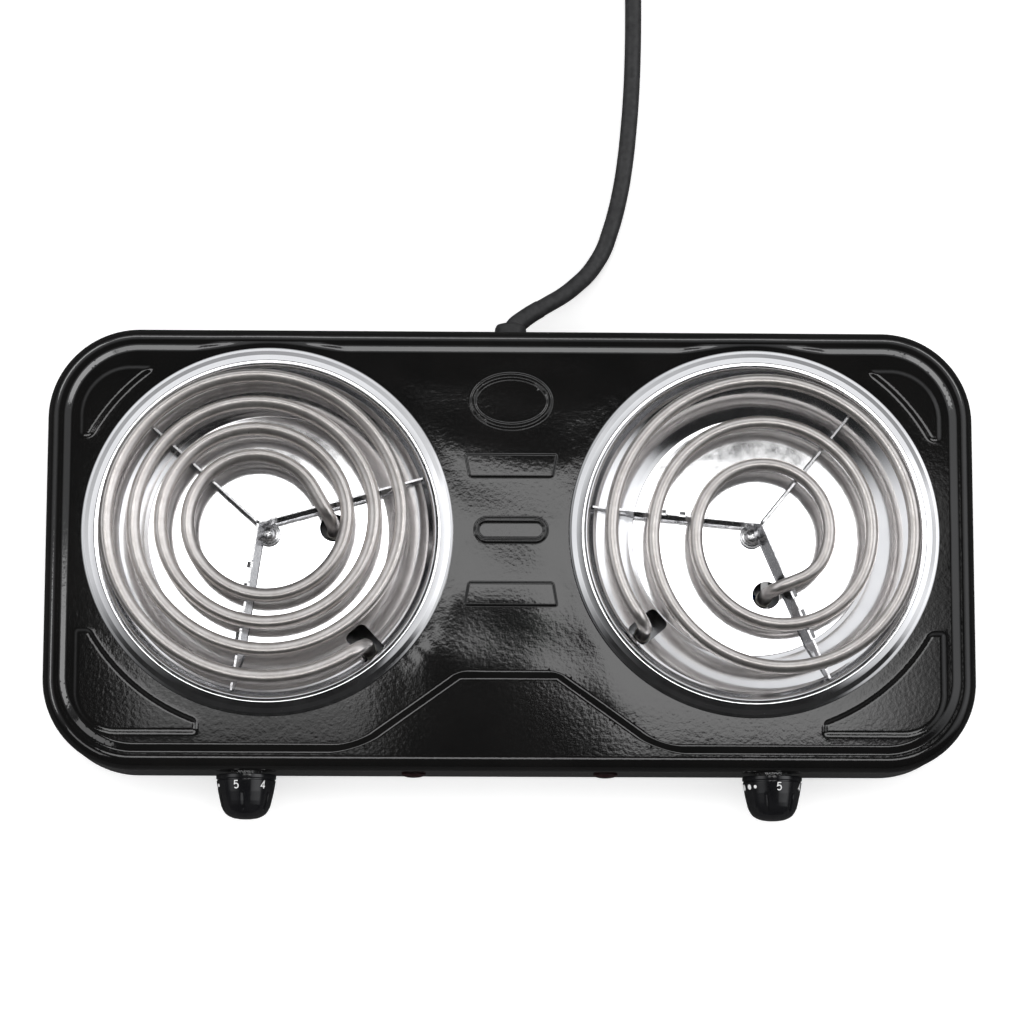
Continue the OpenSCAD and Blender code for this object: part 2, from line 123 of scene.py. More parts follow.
class Build:
    """Vertices, faces and, where a face needs them, its corners' normals, all in millimetres."""

    def __init__(self):
        self.points, self.faces, self.normals, self.count = [], [], [], 0

    def add(self, points):
        """Adds points and returns the list of their numbers."""
        points = np.asarray(points, float).reshape(-1, 3)
        self.points.append(points)
        self.count += len(points)
        return list(range(self.count - len(points), self.count))

    def face(self, ids, normals=None):
        self.faces.append(tuple(int(i) for i in ids))
        self.normals.append(normals)

    def strip(self, a, b, normals=None):
        """Quads between two closed rows of vertices that run side by side."""
        for i in range(len(a)):
            j = (i + 1) % len(a)
            corners = None
            if normals is not None:
                corners = (normals[0][i], normals[0][j], normals[1][j], normals[1][i])
            self.face((a[i], a[j], b[j], b[i]), corners)

    def loft(self, rings, caps=True, around=False):
        """Strips from ring to ring of points, with caps on the ends or on round to the first."""
        rows = [self.add(ring) for ring in rings]
        for a, b in zip(rows, rows[1:] + (rows[:1] if around else [])):
            self.strip(a, b)
        if caps:
            self.face(rows[0][::-1])
            self.face(rows[-1])
        return rows

    def shift(self, by):
        self.points = [p + by for p in self.points]

    def make(self, name, finish, smooth_angle=None):
        mesh = bpy.data.meshes.new(name)
        mesh.from_pydata((np.concatenate(self.points) * MM).tolist(), [], self.faces)
        mesh.materials.append(FINISH[finish])
        mesh.polygons.foreach_set("use_smooth", np.ones(len(self.faces), bool))
        mesh.update()
        if any(n is not None for n in self.normals):
            corners = []
            for polygon, given in zip(mesh.polygons, self.normals):
                if given is None:
                    given = [polygon.normal] * len(polygon.vertices)
                corners += [tuple(n) for n in given]
            mesh.normals_split_custom_set(corners)
        elif smooth_angle is not None:
            mesh.set_sharp_from_angle(angle=math.radians(smooth_angle))
        piece = bpy.data.objects.new(name, mesh)
        scene.collection.objects.link(piece)
        return piece


def fillet(line, radii, steps=5):
    """An open line of (x, y) points with its inner corners rounded to the given radii."""
    line = [np.array(p, float) for p in line]
    out = [line[0]]
    for i in range(1, len(line) - 1):
        r = radii[i] if hasattr(radii, "__len__") else radii
        p = line[i]
        back, on = line[i - 1] - p, line[i + 1] - p
        longest = 0.48 * min(np.linalg.norm(back), np.linalg.norm(on))
        u, v = unit(back), unit(on)
        angle = math.acos(float(np.clip(u @ v, -1, 1)))
        if r <= 0 or angle > math.pi - 0.02:
            out.append(p)
            continue
        reach = min(r / math.tan(angle / 2), longest)
        r = reach * math.tan(angle / 2)
        middle = p + unit(u + v) * r / math.sin(angle / 2)
        start, end = p + u * reach - middle, p + v * reach - middle
        turn = math.pi - angle
        for k in range(steps + 1):
            w = k / steps
            q = (math.sin((1 - w) * turn) * start + math.sin(w * turn) * end) / math.sin(turn)
            out.append(middle + q)
    out.append(line[-1])
    return np.array(out)


def ring_round(origin, axis, radii, along):
    """A ring of points round an axis, with one radius each."""
    side = np.cross(axis, [0, 0, 1]) if abs(axis[2]) < 0.9 else np.cross(axis, [0, 1, 0])
    u = unit(side)
    v = np.cross(u, axis)
    turns = turns_of(len(radii))[:, None]
    return np.array(origin) + axis * along + radii[:, None] * (np.cos(turns) * u - np.sin(turns) * v)


def revolve(build, line, origin, axis, segments, shape=None):
    """Turns a line of (radius, distance along the axis) into a surface and returns its rows. A
    radius of 0 closes an end, and shape(radius, distance, turns) may give each ring its radii."""
    axis = np.array(axis, float)
    ringed = len(line) > 3 and np.allclose(line[0], line[-1])
    rows = []
    for r, h in line[:-1] if ringed else line:
        if r < 1e-6:
            rows.append(build.add(np.array(origin) + axis * h) * segments)
            continue
        radii = shape(r, h, turns_of(segments)) if shape else np.full(segments, r)
        rows.append(build.add(ring_round(origin, axis, radii, h)))
    if ringed:
        rows.append(rows[0])
    for a, b in zip(rows, rows[1:]):
        for i in range(segments):
            j = (i + 1) % segments
            ids = list(dict.fromkeys((a[i], a[j], b[j], b[i])))
            if len(ids) > 2:
                build.face(ids)
    return rows


def sweep(build, path, section, up):
    """A closed section of (across, up) points carried along a path, with exact corner normals."""
    path, section = np.asarray(path, float), np.asarray(section, float)
    ahead = unit_rows(np.gradient(path, axis=0))
    side = np.zeros_like(path)
    last = np.cross(ahead[0], up)
    for i in range(len(path)):
        # The side vector is carried along the path so that legs and bends don't twist
        last = unit(last - ahead[i] * (last @ ahead[i]))
        side[i] = last
    rise = np.cross(side, ahead)
    tangent = np.roll(section, -1, axis=0) - np.roll(section, 1, axis=0)
    outward = unit_rows(np.stack([tangent[:, 1], -tangent[:, 0]], 1))

    def placed(pairs):
        return pairs[None, :, :1] * side[:, None] + pairs[None, :, 1:] * rise[:, None]

    normals = placed(outward)
    rows = [build.add(ring) for ring in path[:, None] + placed(section)]
    for i in range(len(rows) - 1):
        a, b = rows[i], rows[i + 1]
        for k in range(len(section)):
            j = (k + 1) % len(section)
            build.face((a[k], b[k], b[j], a[j]),
                       (normals[i, k], normals[i + 1, k], normals[i + 1, j], normals[i, j]))
    build.face(rows[0])
    build.face(rows[-1][::-1])


def triangulate(loops, inner=()):
    """Fills closed plan loops with triangles whose corners are theirs and the inner points. Gives
    the plan points, the triangles and each loop's point numbers."""
    points, edges, spans = [], [], []
    for loop in loops:
        span = range(len(points), len(points) + len(loop))
        points += [tuple(p) for p in loop]
        edges += [(i, span[0] + (i + 1 - span[0]) % len(loop)) for i in span]
        spans.append(span)
    points += [tuple(p) for p in inner]
    out, _, faces, origins, _, _ = delaunay_2d_cdt([Vector(p) for p in points], edges, [], 0, 1e-5, True)
    where = {old: new for new, olds in enumerate(origins) for old in olds}
    return (np.array([tuple(p) for p in out]), np.array([f for f in faces if len(f) == 3]),
            [[where[i] for i in span] for span in spans])


def plate(build, loops, inner, inside, height, thickness=None):
    """A pressed sheet: a fine mesh over closed plan loops and inner points, whose height and slope
    come from height(x, y). With a thickness it gets an underside, square below its top, and edges.
    Returns each loop's vertex numbers and top points."""
    xy, tri, spans = triangulate(loops, inner)
    middle = xy[tri].mean(axis=1)
    tri = tri[inside(middle[:, 0], middle[:, 1])]
    x, y = xy.T
    step = 0.02
    dx = (height(x + step, y) - height(x - step, y)) / (2 * step)
    dy = (height(x, y + step) - height(x, y - step)) / (2 * step)
    normal = unit_rows(np.stack([-dx, -dy, np.ones_like(dx)], 1))
    top = np.column_stack([xy, height(x, y)])
    used = np.unique(tri)
    above, below = np.full(len(xy), -1), np.full(len(xy), -1)
    above[used] = build.add(top[used])
    for corners in tri:
        build.face(above[corners], normal[corners])
    rows = [above[span] for span in spans]
    if thickness:
        below[used] = build.add((top - normal * thickness)[used])
        for corners in tri[:, ::-1]:
            build.face(below[corners], -normal[corners])
        for k, row in enumerate(rows):
            under = below[spans[k]]
            build.strip(*((row, under) if k else (under, row)))
    return rows, [top[span] for span in spans]


def ring_points(centre, r, n):
    return [tuple(np.array(centre) + polar(r, 360 * i / n)) for i in range(n)]


# ---- materials ----


class Finish:
    """A Principled material with short calls for the nodes that this scene uses."""

    def __init__(self, name, sockets):
        self.material = bpy.data.materials.new(name)
        self.material.use_nodes = True
        self.tree = self.material.node_tree
        self.shader = self.tree.nodes["Principled BSDF"]
        for key, value in sockets.items():
            self.shader.inputs[key].default_value = value
        self.where = self.tree.nodes.new("ShaderNodeTexCoord").outputs["Object"]

    def node(self, kind, **settings):
        n = self.tree.nodes.new("ShaderNode" + kind)
        for key, value in settings.items():
            if key in n.inputs:
                n.inputs[key].default_value = value
            else:
                setattr(n, key, value)
        return n

    def link(self, a, b):
        self.tree.links.new(a, b)

    def noise(self, size_mm, detail, roughness=0.55, stretch=(1, 1, 1)):
        """Noise whose features are about size_mm across, stretched along an axis by a factor."""
        spot = self.node("Mapping")
        spot.inputs["Scale"].default_value = tuple(1 / (size_mm * MM * s) for s in stretch)
        self.link(self.where, spot.inputs["Vector"])
        n = self.node("TexNoise", Scale=1.0, Detail=detail, Roughness=roughness)
        self.link(spot.outputs[0], n.inputs["Vector"])
        return n.outputs["Fac"]

    def cells(self, size_mm):
        """Patches about size_mm across, each of one random tone."""
        n = self.node("TexVoronoi", Scale=1 / (size_mm * MM))
        self.link(self.where, n.inputs["Vector"])
        return n.outputs["Color"]

    def ramp(self, fac, stops):
        n = self.node("ValToRGB")
        for e, (at, colour) in zip(n.color_ramp.elements, stops):
            e.position = at
            e.color = (*colour, 1)
        self.link(fac, n.inputs["Fac"])
        return n.outputs["Color"]

    def span(self, fac, low, high):
        """A factor around 0.5 spread over low to high."""
        n = self.node("MapRange")
        for key, value in (("From Min", 0.3), ("From Max", 0.7), ("To Min", low), ("To Max", high)):
            n.inputs[key].default_value = value
        self.link(fac, n.inputs["Value"])
        return n.outputs[0]

    def colour(self, fac, dark, light, reach=0.2):
        stops = [(0.5 - reach, dark), (0.5 + reach, light)]
        self.link(self.ramp(fac, stops), self.shader.inputs["Base Color"])

    def bump(self, layers):
        """Bump from (factor, height in mm) layers."""
        last = None
        for fac, height in layers:
            n = self.node("Bump", Strength=1.0, Distance=height * MM)
            self.link(fac, n.inputs["Height"])
            if last is not None:
                self.link(last, n.inputs["Normal"])
            last = n.outputs["Normal"]
        self.link(last, self.shader.inputs["Normal"])


def grey(value):
    return (value, value, value)


def wire(dark, light):
    return (4, 4), dark, light, (1, 3), 0.34, 0.5, [((0.5, 3), 0.01)], {}


METAL = {"Metallic": 1.0}
SPANGLE = 7
# Noise for the colour, its dark and light ends, noise for the roughness, its low and high ends,
# bump layers of noise and height, and other sockets. A noise is the arguments of Finish.noise.
FINISHES = {
    "black_enamel": ((40, 4), grey(0.003), (0.0048, 0.0046, 0.0045), (0.5, 2), 0.045, 0.10,
                     [((28, 1), 0.05), ((1.9, 2, 0.5), 0.026), ((0.5, 2), 0.0012)], {}),
    "mirror_steel": ((25, 4), (0.82, 0.82, 0.835), (0.9, 0.9, 0.905), (9, 5, 0.7), 0.07, 0.14,
                     [((16, 2), 0.03), ((0.7, 2), 0.0008)], METAL),
    "element_sheath": ((7, 6, 0.65), (0.70, 0.66, 0.635), (0.88, 0.845, 0.82), (2.2, 5, 0.7), 0.27,
                       0.42, [((1.1, 4, 0.65), 0.014), ((0.25, 2), 0.003)], METAL),
    "arm_steel": ((6, 4), (0.5, 0.5, 0.51), (0.64, 0.64, 0.65), (1.4, 4), 0.14, 0.3,
                  [((0.6, 3, 0.55, (6, 6, 0.6)), 0.004)], METAL),
    "screw_steel": ((1.6, 4), (0.62, 0.62, 0.63), (0.8, 0.8, 0.81), (0.9, 4), 0.15, 0.3,
                    [((0.4, 3), 0.003)], METAL),
    "zinc_steel": (None, (0.52, 0.53, 0.55), (0.63, 0.64, 0.65), (5, 4), 0.3, 0.46,
                   [((1.2, 3), 0.006)], METAL),
    "brass": ((2, 4), (0.62, 0.43, 0.17), (0.78, 0.58, 0.27), (1, 4), 0.2, 0.38,
              [((0.4, 3), 0.004)], METAL),
    "knob_plastic": ((6, 3), (0.005, 0.005, 0.006), (0.0085, 0.0085, 0.0095), (1.1, 4), 0.09, 0.19,
                     [((0.9, 3), 0.0025), ((0.2, 2), 0.0006)], {"IOR": 1.62}),
    "dial_print": ((0.5, 3), grey(0.72), grey(0.88), None, 0.5, 0.5, [((0.25, 2), 0.004)], {}),
    "lamp_lens": ((2, 3), (0.009, 0.003, 0.003), (0.018, 0.005, 0.005), (0.8, 3), 0.08, 0.18,
                  [((0.6, 2), 0.004)], {"IOR": 1.49, "Transmission Weight": 0.2}),
    "cord_black": ((3, 5), (0.016, 0.016, 0.017), (0.034, 0.034, 0.035), (1.2, 5, 0.7), 0.4, 0.6,
                   [((0.8, 4, 0.6), 0.03), ((0.2, 2), 0.006)], {}),
    "plug_plastic": ((8, 4), (0.015, 0.015, 0.016), (0.027, 0.027, 0.028), (1.5, 4), 0.34, 0.5,
                     [((0.35, 3), 0.012)], {}),
    "rubber": ((2.5, 5), grey(0.012), grey(0.03), (1, 4), 0.65, 0.88, [((0.5, 3), 0.02)], {}),
    "nylon": ((3, 3), (0.022, 0.022, 0.023), (0.04, 0.04, 0.041), (1, 3), 0.32, 0.48,
              [((0.5, 2), 0.006)], {}),
    "ceramic": ((2, 5), (0.72, 0.68, 0.6), (0.86, 0.83, 0.77), (1, 3), 0.28, 0.5,
                [((0.5, 4), 0.015)], {}),
    "thermostat_case": ((3, 5), (0.36, 0.31, 0.22), (0.52, 0.47, 0.36), (1, 3), 0.42, 0.6,
                        [((0.5, 3), 0.01)], {}),
    "lamp_case": ((3, 4), (0.68, 0.65, 0.57), (0.8, 0.78, 0.71), (1, 3), 0.38, 0.52,
                  [((0.6, 3), 0.006)], {}),
    "wire_brown": wire((0.10, 0.035, 0.012), (0.16, 0.06, 0.022)),
    "wire_blue": wire((0.01, 0.06, 0.28), (0.02, 0.1, 0.4)),
    "wire_green": wire((0.04, 0.28, 0.03), (0.08, 0.42, 0.05)),
}


def make_finish(name, tone, dark, light, grain, low, high, layers, sockets):
    # The plain base colour and roughness are for a viewer that doesn't read the nodes
    plain = {"Base Color": [(a + b) / 2 for a, b in zip(dark, light)] + [1], "Roughness": (low + high) / 2}
    f = Finish(name, {**plain, **sockets})
    if tone:
        f.colour(f.noise(*tone), dark, light)
    else:
        f.colour(f.cells(SPANGLE), dark, light, 0.3)
    if grain:
        f.link(f.span(f.noise(*grain), low, high), f.shader.inputs["Roughness"])
    f.bump([(f.noise(*noise), height) for noise, height in layers])
    return f.material


FINISH = {name: make_finish(name, *row) for name, row in FINISHES.items()}


def place(piece, slot, *replaced, body="root"):
    if replaced:
        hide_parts(*replaced)
    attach(piece, body)
    return piece


# ---- cord, bush, tie and plug ----

CORD_R = 4.2
COIL_CENTRE = np.array([8, 370.5])
COIL_TURN_R = 54
COIL_STEP = 20
COIL_LOW, COIL_RISE = 5, 8.3
COIL_END = 660
RISE_FROM = 575
LEAD = [(5, 128.5, 28.3), (10, 132.6, 26), (18.8, 138.7, 21.5), (27.2, 144.9, 16.3), (33.6, 151, 11.8),
        (39, 156.9, 8.2), (43.8, 164, 5.6), (47.4, 170.7, 4.6), (50.1, 178.4, 4.2), (52.5, 186.3, 4.2),
        (55.5, 199, 4.2), (58, 214, 4.2), (60, 232, 4.2), (61.5, 252, 4.2), (62.3, 272, 4.2),
        (62.6, 292.5, 4.2), (62.5, 316.5, 4.4), (62, 344.5, 5)]
TAIL = [(27.3, 337, 13.3), (45, 346.5, 13.8), (63, 354.5, 13.8), (82, 360.5, 11.5), (101, 364.5, 8),
        (120, 367.5, 7), (140, 370, 9.5), (158, 372, 14), (172, 373, 17), (184, 373.5, 17.6)]
BUSH_Z = 30
SLEEVE = [(0, 116.5, BUSH_Z), (0.2, 119.5, BUSH_Z), (0.9, 122.5, 29.8), (2.4, 125.8, 29.2), *LEAD[:2],
          (14.4, 135.7, 23.8)]
PLUG_TURN = 3
PIN_GAP = 9.5


def cord_points():
    turns = []
    for a in range(0, COIL_END, COIL_STEP):
        x, y = COIL_CENTRE + polar(COIL_TURN_R - 2 * CORD_R * a / 360, a)
        turns.append((x, y, COIL_LOW + COIL_RISE * smoothstep(RISE_FROM, COIL_END, a)))
    return LEAD + turns + TAIL


def make_cord():
    curve = bpy.data.curves.new("power_lead", "CURVE")
    curve.dimensions = "3D"
    curve.bevel_depth = CORD_R * MM
    curve.bevel_resolution = 6
    curve.resolution_u = 5
    curve.use_fill_caps = True
    spline = curve.splines.new("BEZIER")
    points = cord_points()
    spline.bezier_points.add(len(points) - 1)
    for b, p in zip(spline.bezier_points, points):
        b.co = Vector(p) * MM
        b.handle_left_type = b.handle_right_type = "AUTO"
    curve.materials.append(FINISH["cord_black"])
    cord = bpy.data.objects.new("power_lead", curve)
    scene.collection.objects.link(cord)
    return place(cord, "cord_black", "power_cord", "cord_coil", "cord_tail")


def smooth_path(points, n):
    """A Catmull-Rom line through points, with n steps between two of them."""
    p = np.asarray(points, float)
    p = np.vstack([2 * p[0] - p[1], p, 2 * p[-1] - p[-2]])
    out = []
    for i in range(1, len(p) - 2):
        a, b, c, d = p[i - 1], p[i], p[i + 1], p[i + 2]
        for k in range(n):
            t = k / n
            out.append(0.5 * (2 * b + (c - a) * t + (2 * a - 5 * b + 4 * c - d) * t * t
                              + (3 * b - a - 3 * c + d) * t ** 3))
    out.append(p[-2])
    return np.array(out)


def make_bush():
    """A round boss on the back wall and a tapered sleeve that turns with the cord."""
    b = Build()
    boss = fillet([(0, 0.05), (8, 0.05), (8, 2), (7.7, 5.6), (6.9, 7.3), (4.5, 8), (0, 8)],
                  [0, 0.3, 3, 2, 1.2, 1, 0], 4)
    revolve(b, boss, (0, shell_high.y, BUSH_Z), (0, 1, 0), 64)
    path = smooth_path(SLEEVE, 9)
    run = np.concatenate([[0], np.cumsum(np.linalg.norm(np.diff(path, axis=0), axis=1))])
    radii = 4.4 + 1.4 * (1 - run / run[-1]) ** 2.5
    rings = []
    for p, ahead, r in zip(path, unit_rows(np.gradient(path, axis=0)), radii):
        u = unit(np.cross([0, 0, 1], ahead))
        v = np.cross(ahead, u)
        rings.append([p + r * (math.cos(t) * u + math.sin(t) * v) for t in turns_of(40)])
    b.loft(rings)
    return place(b.make("cord_strain_relief", "cord_black", 35), "cord_black", "cord_bush")


def box_piece(b, centre, axes, half, chamfer):
    """A box on three unit axes, with chamfered edges."""
    u, v, w = axes
    hu, hv, hw = half
    rings = []
    for z, inset in ((-hw, chamfer), (chamfer - hw, 0), (hw - chamfer, 0), (hw, chamfer)):
        x, y = hu - inset, hv - inset
        c = chamfer * 0.6 if inset else chamfer
        plan = [(x, c - y), (x, y - c), (x - c, y), (c - x, y), (-x, y - c), (-x, c - y), (c - x, -y),
                (x - c, -y)]
        rings.append([centre + u * p + v * q + w * z for p, q in plan])
    b.loft(rings)


def make_tie():
    """A releasable strap round the coil's two turns, with a small square head on top."""
    b = Build()
    inner, outer = COIL_TURN_R - 5 * CORD_R, COIL_TURN_R + CORD_R
    low, high, gap, corner = 0.45, 9.75, 0.5, 4.4
    middle = np.array([(inner + outer) / 2, (low + high) / 2])
    across, along = polar(1, 150), polar(1, 240)
    line = fillet([(middle[0], low), (outer + gap, low), (outer + gap, high), (inner - gap, high),
                   (inner - gap, low), (middle[0] - 0.01, low)], [0] + [corner] * 4 + [0], 8)
    section = [(-0.4, -3.6), (0.4, -3.6), (0.55, 0), (0.4, 3.6), (-0.4, 3.6), (-0.3, 0)]
    rings = []
    for q in line:
        spots = [(q + unit(q - middle) * out, w) for out, w in section]
        rings.append([lifted(COIL_CENTRE + across * s[0] + along * w, s[1]) for s, w in spots])
    b.loft(rings, caps=False, around=True)
    head = lifted(COIL_CENTRE + across * (inner + 9), 10.3)
    box_piece(b, head, (lifted(across), lifted(along), np.array([0, 0, 1.0])), (3.4, 4.5, 0.85), 0.35)
    return place(b.make("coil_tie", "nylon", 40), "nylon", "cord_tie")


def make_plug():
    """A moulded two-pin plug on its side: ribbed neck, waisted grip and a flat round face."""
    axis, side = lifted(polar(1, PLUG_TURN)), lifted(polar(1, PLUG_TURN + 90))
    origin = np.array(TAIL[-1], float)
    neck = [(0, 0), (5.2, 0)]
    for i in range(5):
        z, r = 1.5 + i * 3.1, 5.35 + i * 0.24
        neck += [(r, z), (r + 0.05, z + 1.7), (r - 0.7, z + 1.9), (r - 0.7, z + 2.7)]
    grip = [(6.9, 17.6), (8, 20.5), (12.6, 24.6), (16.9, 27.6), (17.5, 30.5), (17.5, 33), (16.7, 35),
            (16.7, 41), (17.5, 43), (17.5, 46), (16.6, 47), (12, 47), (12, 46.6), (0, 46.6)]
    b = Build()
    revolve(b, fillet(neck + grip, 0.4, 3), origin, axis, 72)
    plug = place(b.make("mains_plug", "plug_plastic", 32), "plug_plastic", "plug_body")
    pin = fillet([(0, 46), (2.4, 46), (2.4, 64), (2.1, 65.4), (1.2, 66), (0, 66)],
                 [0, 0, 0.5, 0.8, 0.3, 0], 4)
    collar = fillet([(2.4, 46.6), (3.3, 46.6), (3.3, 47.3), (2.4, 47.3), (2.4, 46.6)], 0.2, 3)
    p = Build()
    for s in (-PIN_GAP, PIN_GAP):
        for line in (pin, collar):
            revolve(p, line, origin + side * s, axis, 40)
    return plug, place(p.make("plug_contacts", "screw_steel", 30), "screw_steel", "plug_pins")


cord = make_cord()
bush = make_bush()
tie = make_tie()
plug, pins = make_plug()

# ---- housing ----
# Plan places are from the middle of the body

BAND_OUT = (216.6, 99.1)
BAND_W = 3.6
BAND_EASE = 0.8
BAND_CORNER = 36.5
MARGIN_DROP = 1.4
LOBE_RISE, LOBE_W, LOBE_EASE = 0.55, 2.2, 0.9
LOBE_RING = 96.6
MARK_H, MARK_IN, MARK_W, MARK_EASE = 0.75, 0.8, 1.1, 0.35
EDGE_R = 7
CORNER_R = 44
SHEET = 1
LIP = 9
BURNER_Y = BURNERS["left"].y - BODY_Y
BURNER_X = BURNERS["right"].x
HOLE_R = 81.6
PAN_REACH = 91
NOTCH_SLOPE = math.atan2(35, 49)


def away_from_burners(x, y):
    return np.hypot(np.abs(x) - BURNER_X, y - BURNER_Y)


def rounded_box(x, y, hw, hd, r):
    dx, dy = np.abs(x) - hw + r, np.abs(y) - hd + r
    return np.hypot(np.maximum(dx, 0), np.maximum(dy, 0)) + np.minimum(np.maximum(dx, dy), 0) - r


def round_max(r, *distances):
    """The distance to an overlap of shapes, its corners rounded to r."""
    shifted = [d + r for d in distances]
    return (np.sqrt(sum(np.maximum(d, 0) ** 2 for d in shifted))
            + np.minimum(np.maximum.reduce(shifted), 0) - r)


def ease(d, w, e):
    """Rises from 0 to 1 as d goes from 0 to w, straight but for its ends, rounded over e."""
    def q(x):
        return np.where(x < -e, 0, np.where(x > e, x, (x + e) ** 2 / (4 * e)))
    return (q(d) - q(d - w)) / w


def front_notch(x, y):
    """Distance inside the bay in the raised field between the burners, at the front."""
    rise = (y + 95) * math.cos(NOTCH_SLOPE)
    left = rise - (x + 74) * math.sin(NOTCH_SLOPE)
    right = rise - (72 - x) * math.sin(NOTCH_SLOPE)
    return -round_max(3, left, right, y + 60)


def field_distance(x, y):
    """Distance outside the raised field's edge."""
    half = [v - BAND_W for v in BAND_OUT]
    return round_max(5, rounded_box(x, y, *half, BAND_CORNER - BAND_W), front_notch(x, y))


def emboss(x, y):
    """Distance inside the rounded triangles in the four corners."""
    u, ring = np.abs(x), LOBE_RING - away_from_burners(x, y)
    front = round_max(2.6, round_max(21, u - 209.6, -y - 91), ring, 40 + y, 149.5 - u)
    back = round_max(2.6, round_max(25, u - 209, y - 88.4), ring, 52.5 - y, 173.5 - u)
    return -np.where(y < 0, front, back)


def ellipse(x, y, a, b):
    k = np.hypot(x / a, y / b)
    g = np.hypot(x / (a * a), y / (b * b))
    return k * (k - 1) / np.maximum(g, 1e-6)


def mark_distance(x, y):
    """Distance outside the nearest raised mark in the middle of the plate."""
    def bar(back, front, y0):
        half = front / 2 + (back - front) / 2 * (y - y0 + 5.75) / 11.5
        return round_max(1.4, np.abs(x) - half, np.abs(y - y0) - 5.75)
    from_oval, from_stadium = y - 71.7, y - 8.4
    oval = np.maximum(ellipse(x, from_oval, 20, 14), -ellipse(x, from_oval, 17.25, 10.75))
    stadium = np.maximum(rounded_box(x, from_stadium, 17.75, 6.3, 6.2),
                         -rounded_box(x, from_stadium, 15.65, 3.7, 3.6))
    return np.minimum.reduce([oval, stadium, bar(45, 40.5, 39.9), bar(41, 45, -22.7)])


def warp(x, y):
    """The thin sheet's slight unevenness, strongest between the burners."""
    long_waves = 0.16 * np.sin(x / 17 + 1.1) * np.sin(y / 23 + 0.4)
    short_waves = 0.10 * np.sin((x + y) / 11) * np.cos((x - 1.7 * y) / 19)
    near = smoothstep(0, 8, away_from_burners(x, y) - 90) * (1 - smoothstep(40, 75, np.abs(x)))
    return (long_waves + short_waves) * near * smoothstep(0, 14, 94 - np.abs(y))


def shell_height(x, y):
    edge = ease(field_distance(x, y), BAND_W, BAND_EASE)
    near_pan = smoothstep(91.2, 97.4, away_from_burners(x, y))
    z = -MARGIN_DROP * edge * near_pan
    z = z + LOBE_RISE * ease(emboss(x, y), LOBE_W, LOBE_EASE)
    z = z + MARK_H * (1 - ease(mark_distance(x, y) + MARK_IN, MARK_W, MARK_EASE))
    return TOP + z + warp(x, y) * (1 - edge)


def outline(inset, spacing=3.0, arc_steps=24):
    """The body's plan outline, inset, as (point, outward direction), anticlockwise."""
    r = CORNER_R - inset
    hw, hd = HALF_W - CORNER_R, HALF_D - CORNER_R
    corners = [((hw, hd), 0), ((-hw, hd), 90), ((-hw, -hd), 180), ((hw, -hd), 270)]
    out = []
    for i, (centre, turn) in enumerate(corners):
        for k in range(arc_steps + 1):
            d = polar(1, turn + 90 * k / arc_steps)
            out.append((centre + d * r, d))
        far, far_turn = corners[(i + 1) % 4]
        start, end = out[-1][0], far + polar(r, far_turn)
        steps = int(np.linalg.norm(end - start) / spacing)
        out += [(start + (end - start) * k / steps, polar(1, turn + 90)) for k in range(1, steps)]
    return out


def plan_grid(step, start=0.0):
    """A square grid over the flat part of the plate."""
    hw, hd = HALF_W - EDGE_R, HALF_D - EDGE_R
    x, y = np.meshgrid(np.arange(start - hw, hw, step), np.arange(start - hd, hd, step))
    return x.ravel(), y.ravel()


def on_levels(distance, levels, reach, step, clear):
    """Points a step apart on the lines where a distance has the given values, near a feature."""
    x, y = plan_grid(step * 0.7)
    d = distance(x, y)
    near = (d > levels[0] - reach) & (d < levels[-1] + reach)
    x, y = x[near], y[near]
    small = 0.01
    out = []
    for level in levels:
        px, py = x, y
        for _ in range(3):
            d = distance(px, py)
            gx = (distance(px + small, py) - distance(px - small, py)) / (2 * small)
            gy = (distance(px, py + small) - distance(px, py - small)) / (2 * small)
            size = np.maximum(gx * gx + gy * gy, 0.2)
            px, py = px + (level - d) * gx / size, py + (level - d) * gy / size
        good = np.abs(distance(px, py) - level) < 0.01
        good &= (np.hypot(px - x, py - y) < step) & clear(px, py, 0.3)
        spots = np.column_stack([px, py])[good]
        out.append(spots[np.unique(np.round(spots / step), axis=0, return_index=True)[1]])
    return np.vstack(out)


def on_plate(x, y, by=0.0):
    """Whether a point is on the plate's flat part and outside the pans' holes, with by to spare."""
    flat = rounded_box(x, y, HALF_W - EDGE_R, HALF_D - EDGE_R, CORNER_R - EDGE_R) < -by
    return flat & (away_from_burners(x, y) > HOLE_R + by)


def shell_points():
    """Inner points: on the lines where the plate's shape changes, and far apart elsewhere."""
    def off_pans(x, y, by):
        return on_plate(x, y, by) & (away_from_burners(x, y) > PAN_REACH)

    def in_middle(x, y, by):
        return on_plate(x, y, by) & (np.abs(x) < 30)

    def featured(x, y, reach):
        band = np.abs(field_distance(x, y) - BAND_W / 2) < BAND_W / 2 + reach
        lobe = np.abs(emboss(x, y) - 1.25) < 1.25 + reach
        mark = np.abs(mark_distance(x, y) + 0.25) < 0.8 + reach
        return band & (away_from_burners(x, y) > PAN_REACH) | lobe | mark

    def grid(step, keep):
        x, y = plan_grid(step, step / 2)
        return np.column_stack([x, y])[keep(x, y) & on_plate(x, y, 0.45 * step)]

    bend = np.linspace(-BAND_EASE, BAND_EASE, 5)
    band = np.concatenate([bend, [BAND_W / 2], bend + BAND_W])
    return np.vstack([
        on_levels(field_distance, band, 0.3, 1.1, off_pans),
        on_levels(emboss, np.arange(-0.8, 3.31, 0.41), 0.3, 0.8, off_pans),
        on_levels(mark_distance, np.arange(-1.15, 0.66, 0.2), 0.2, 0.5, in_middle),
        grid(2.2, lambda x, y: featured(x, y, 5) & ~featured(x, y, 1.8)),
        grid(5.0, lambda x, y: ~featured(x, y, 5.1))])


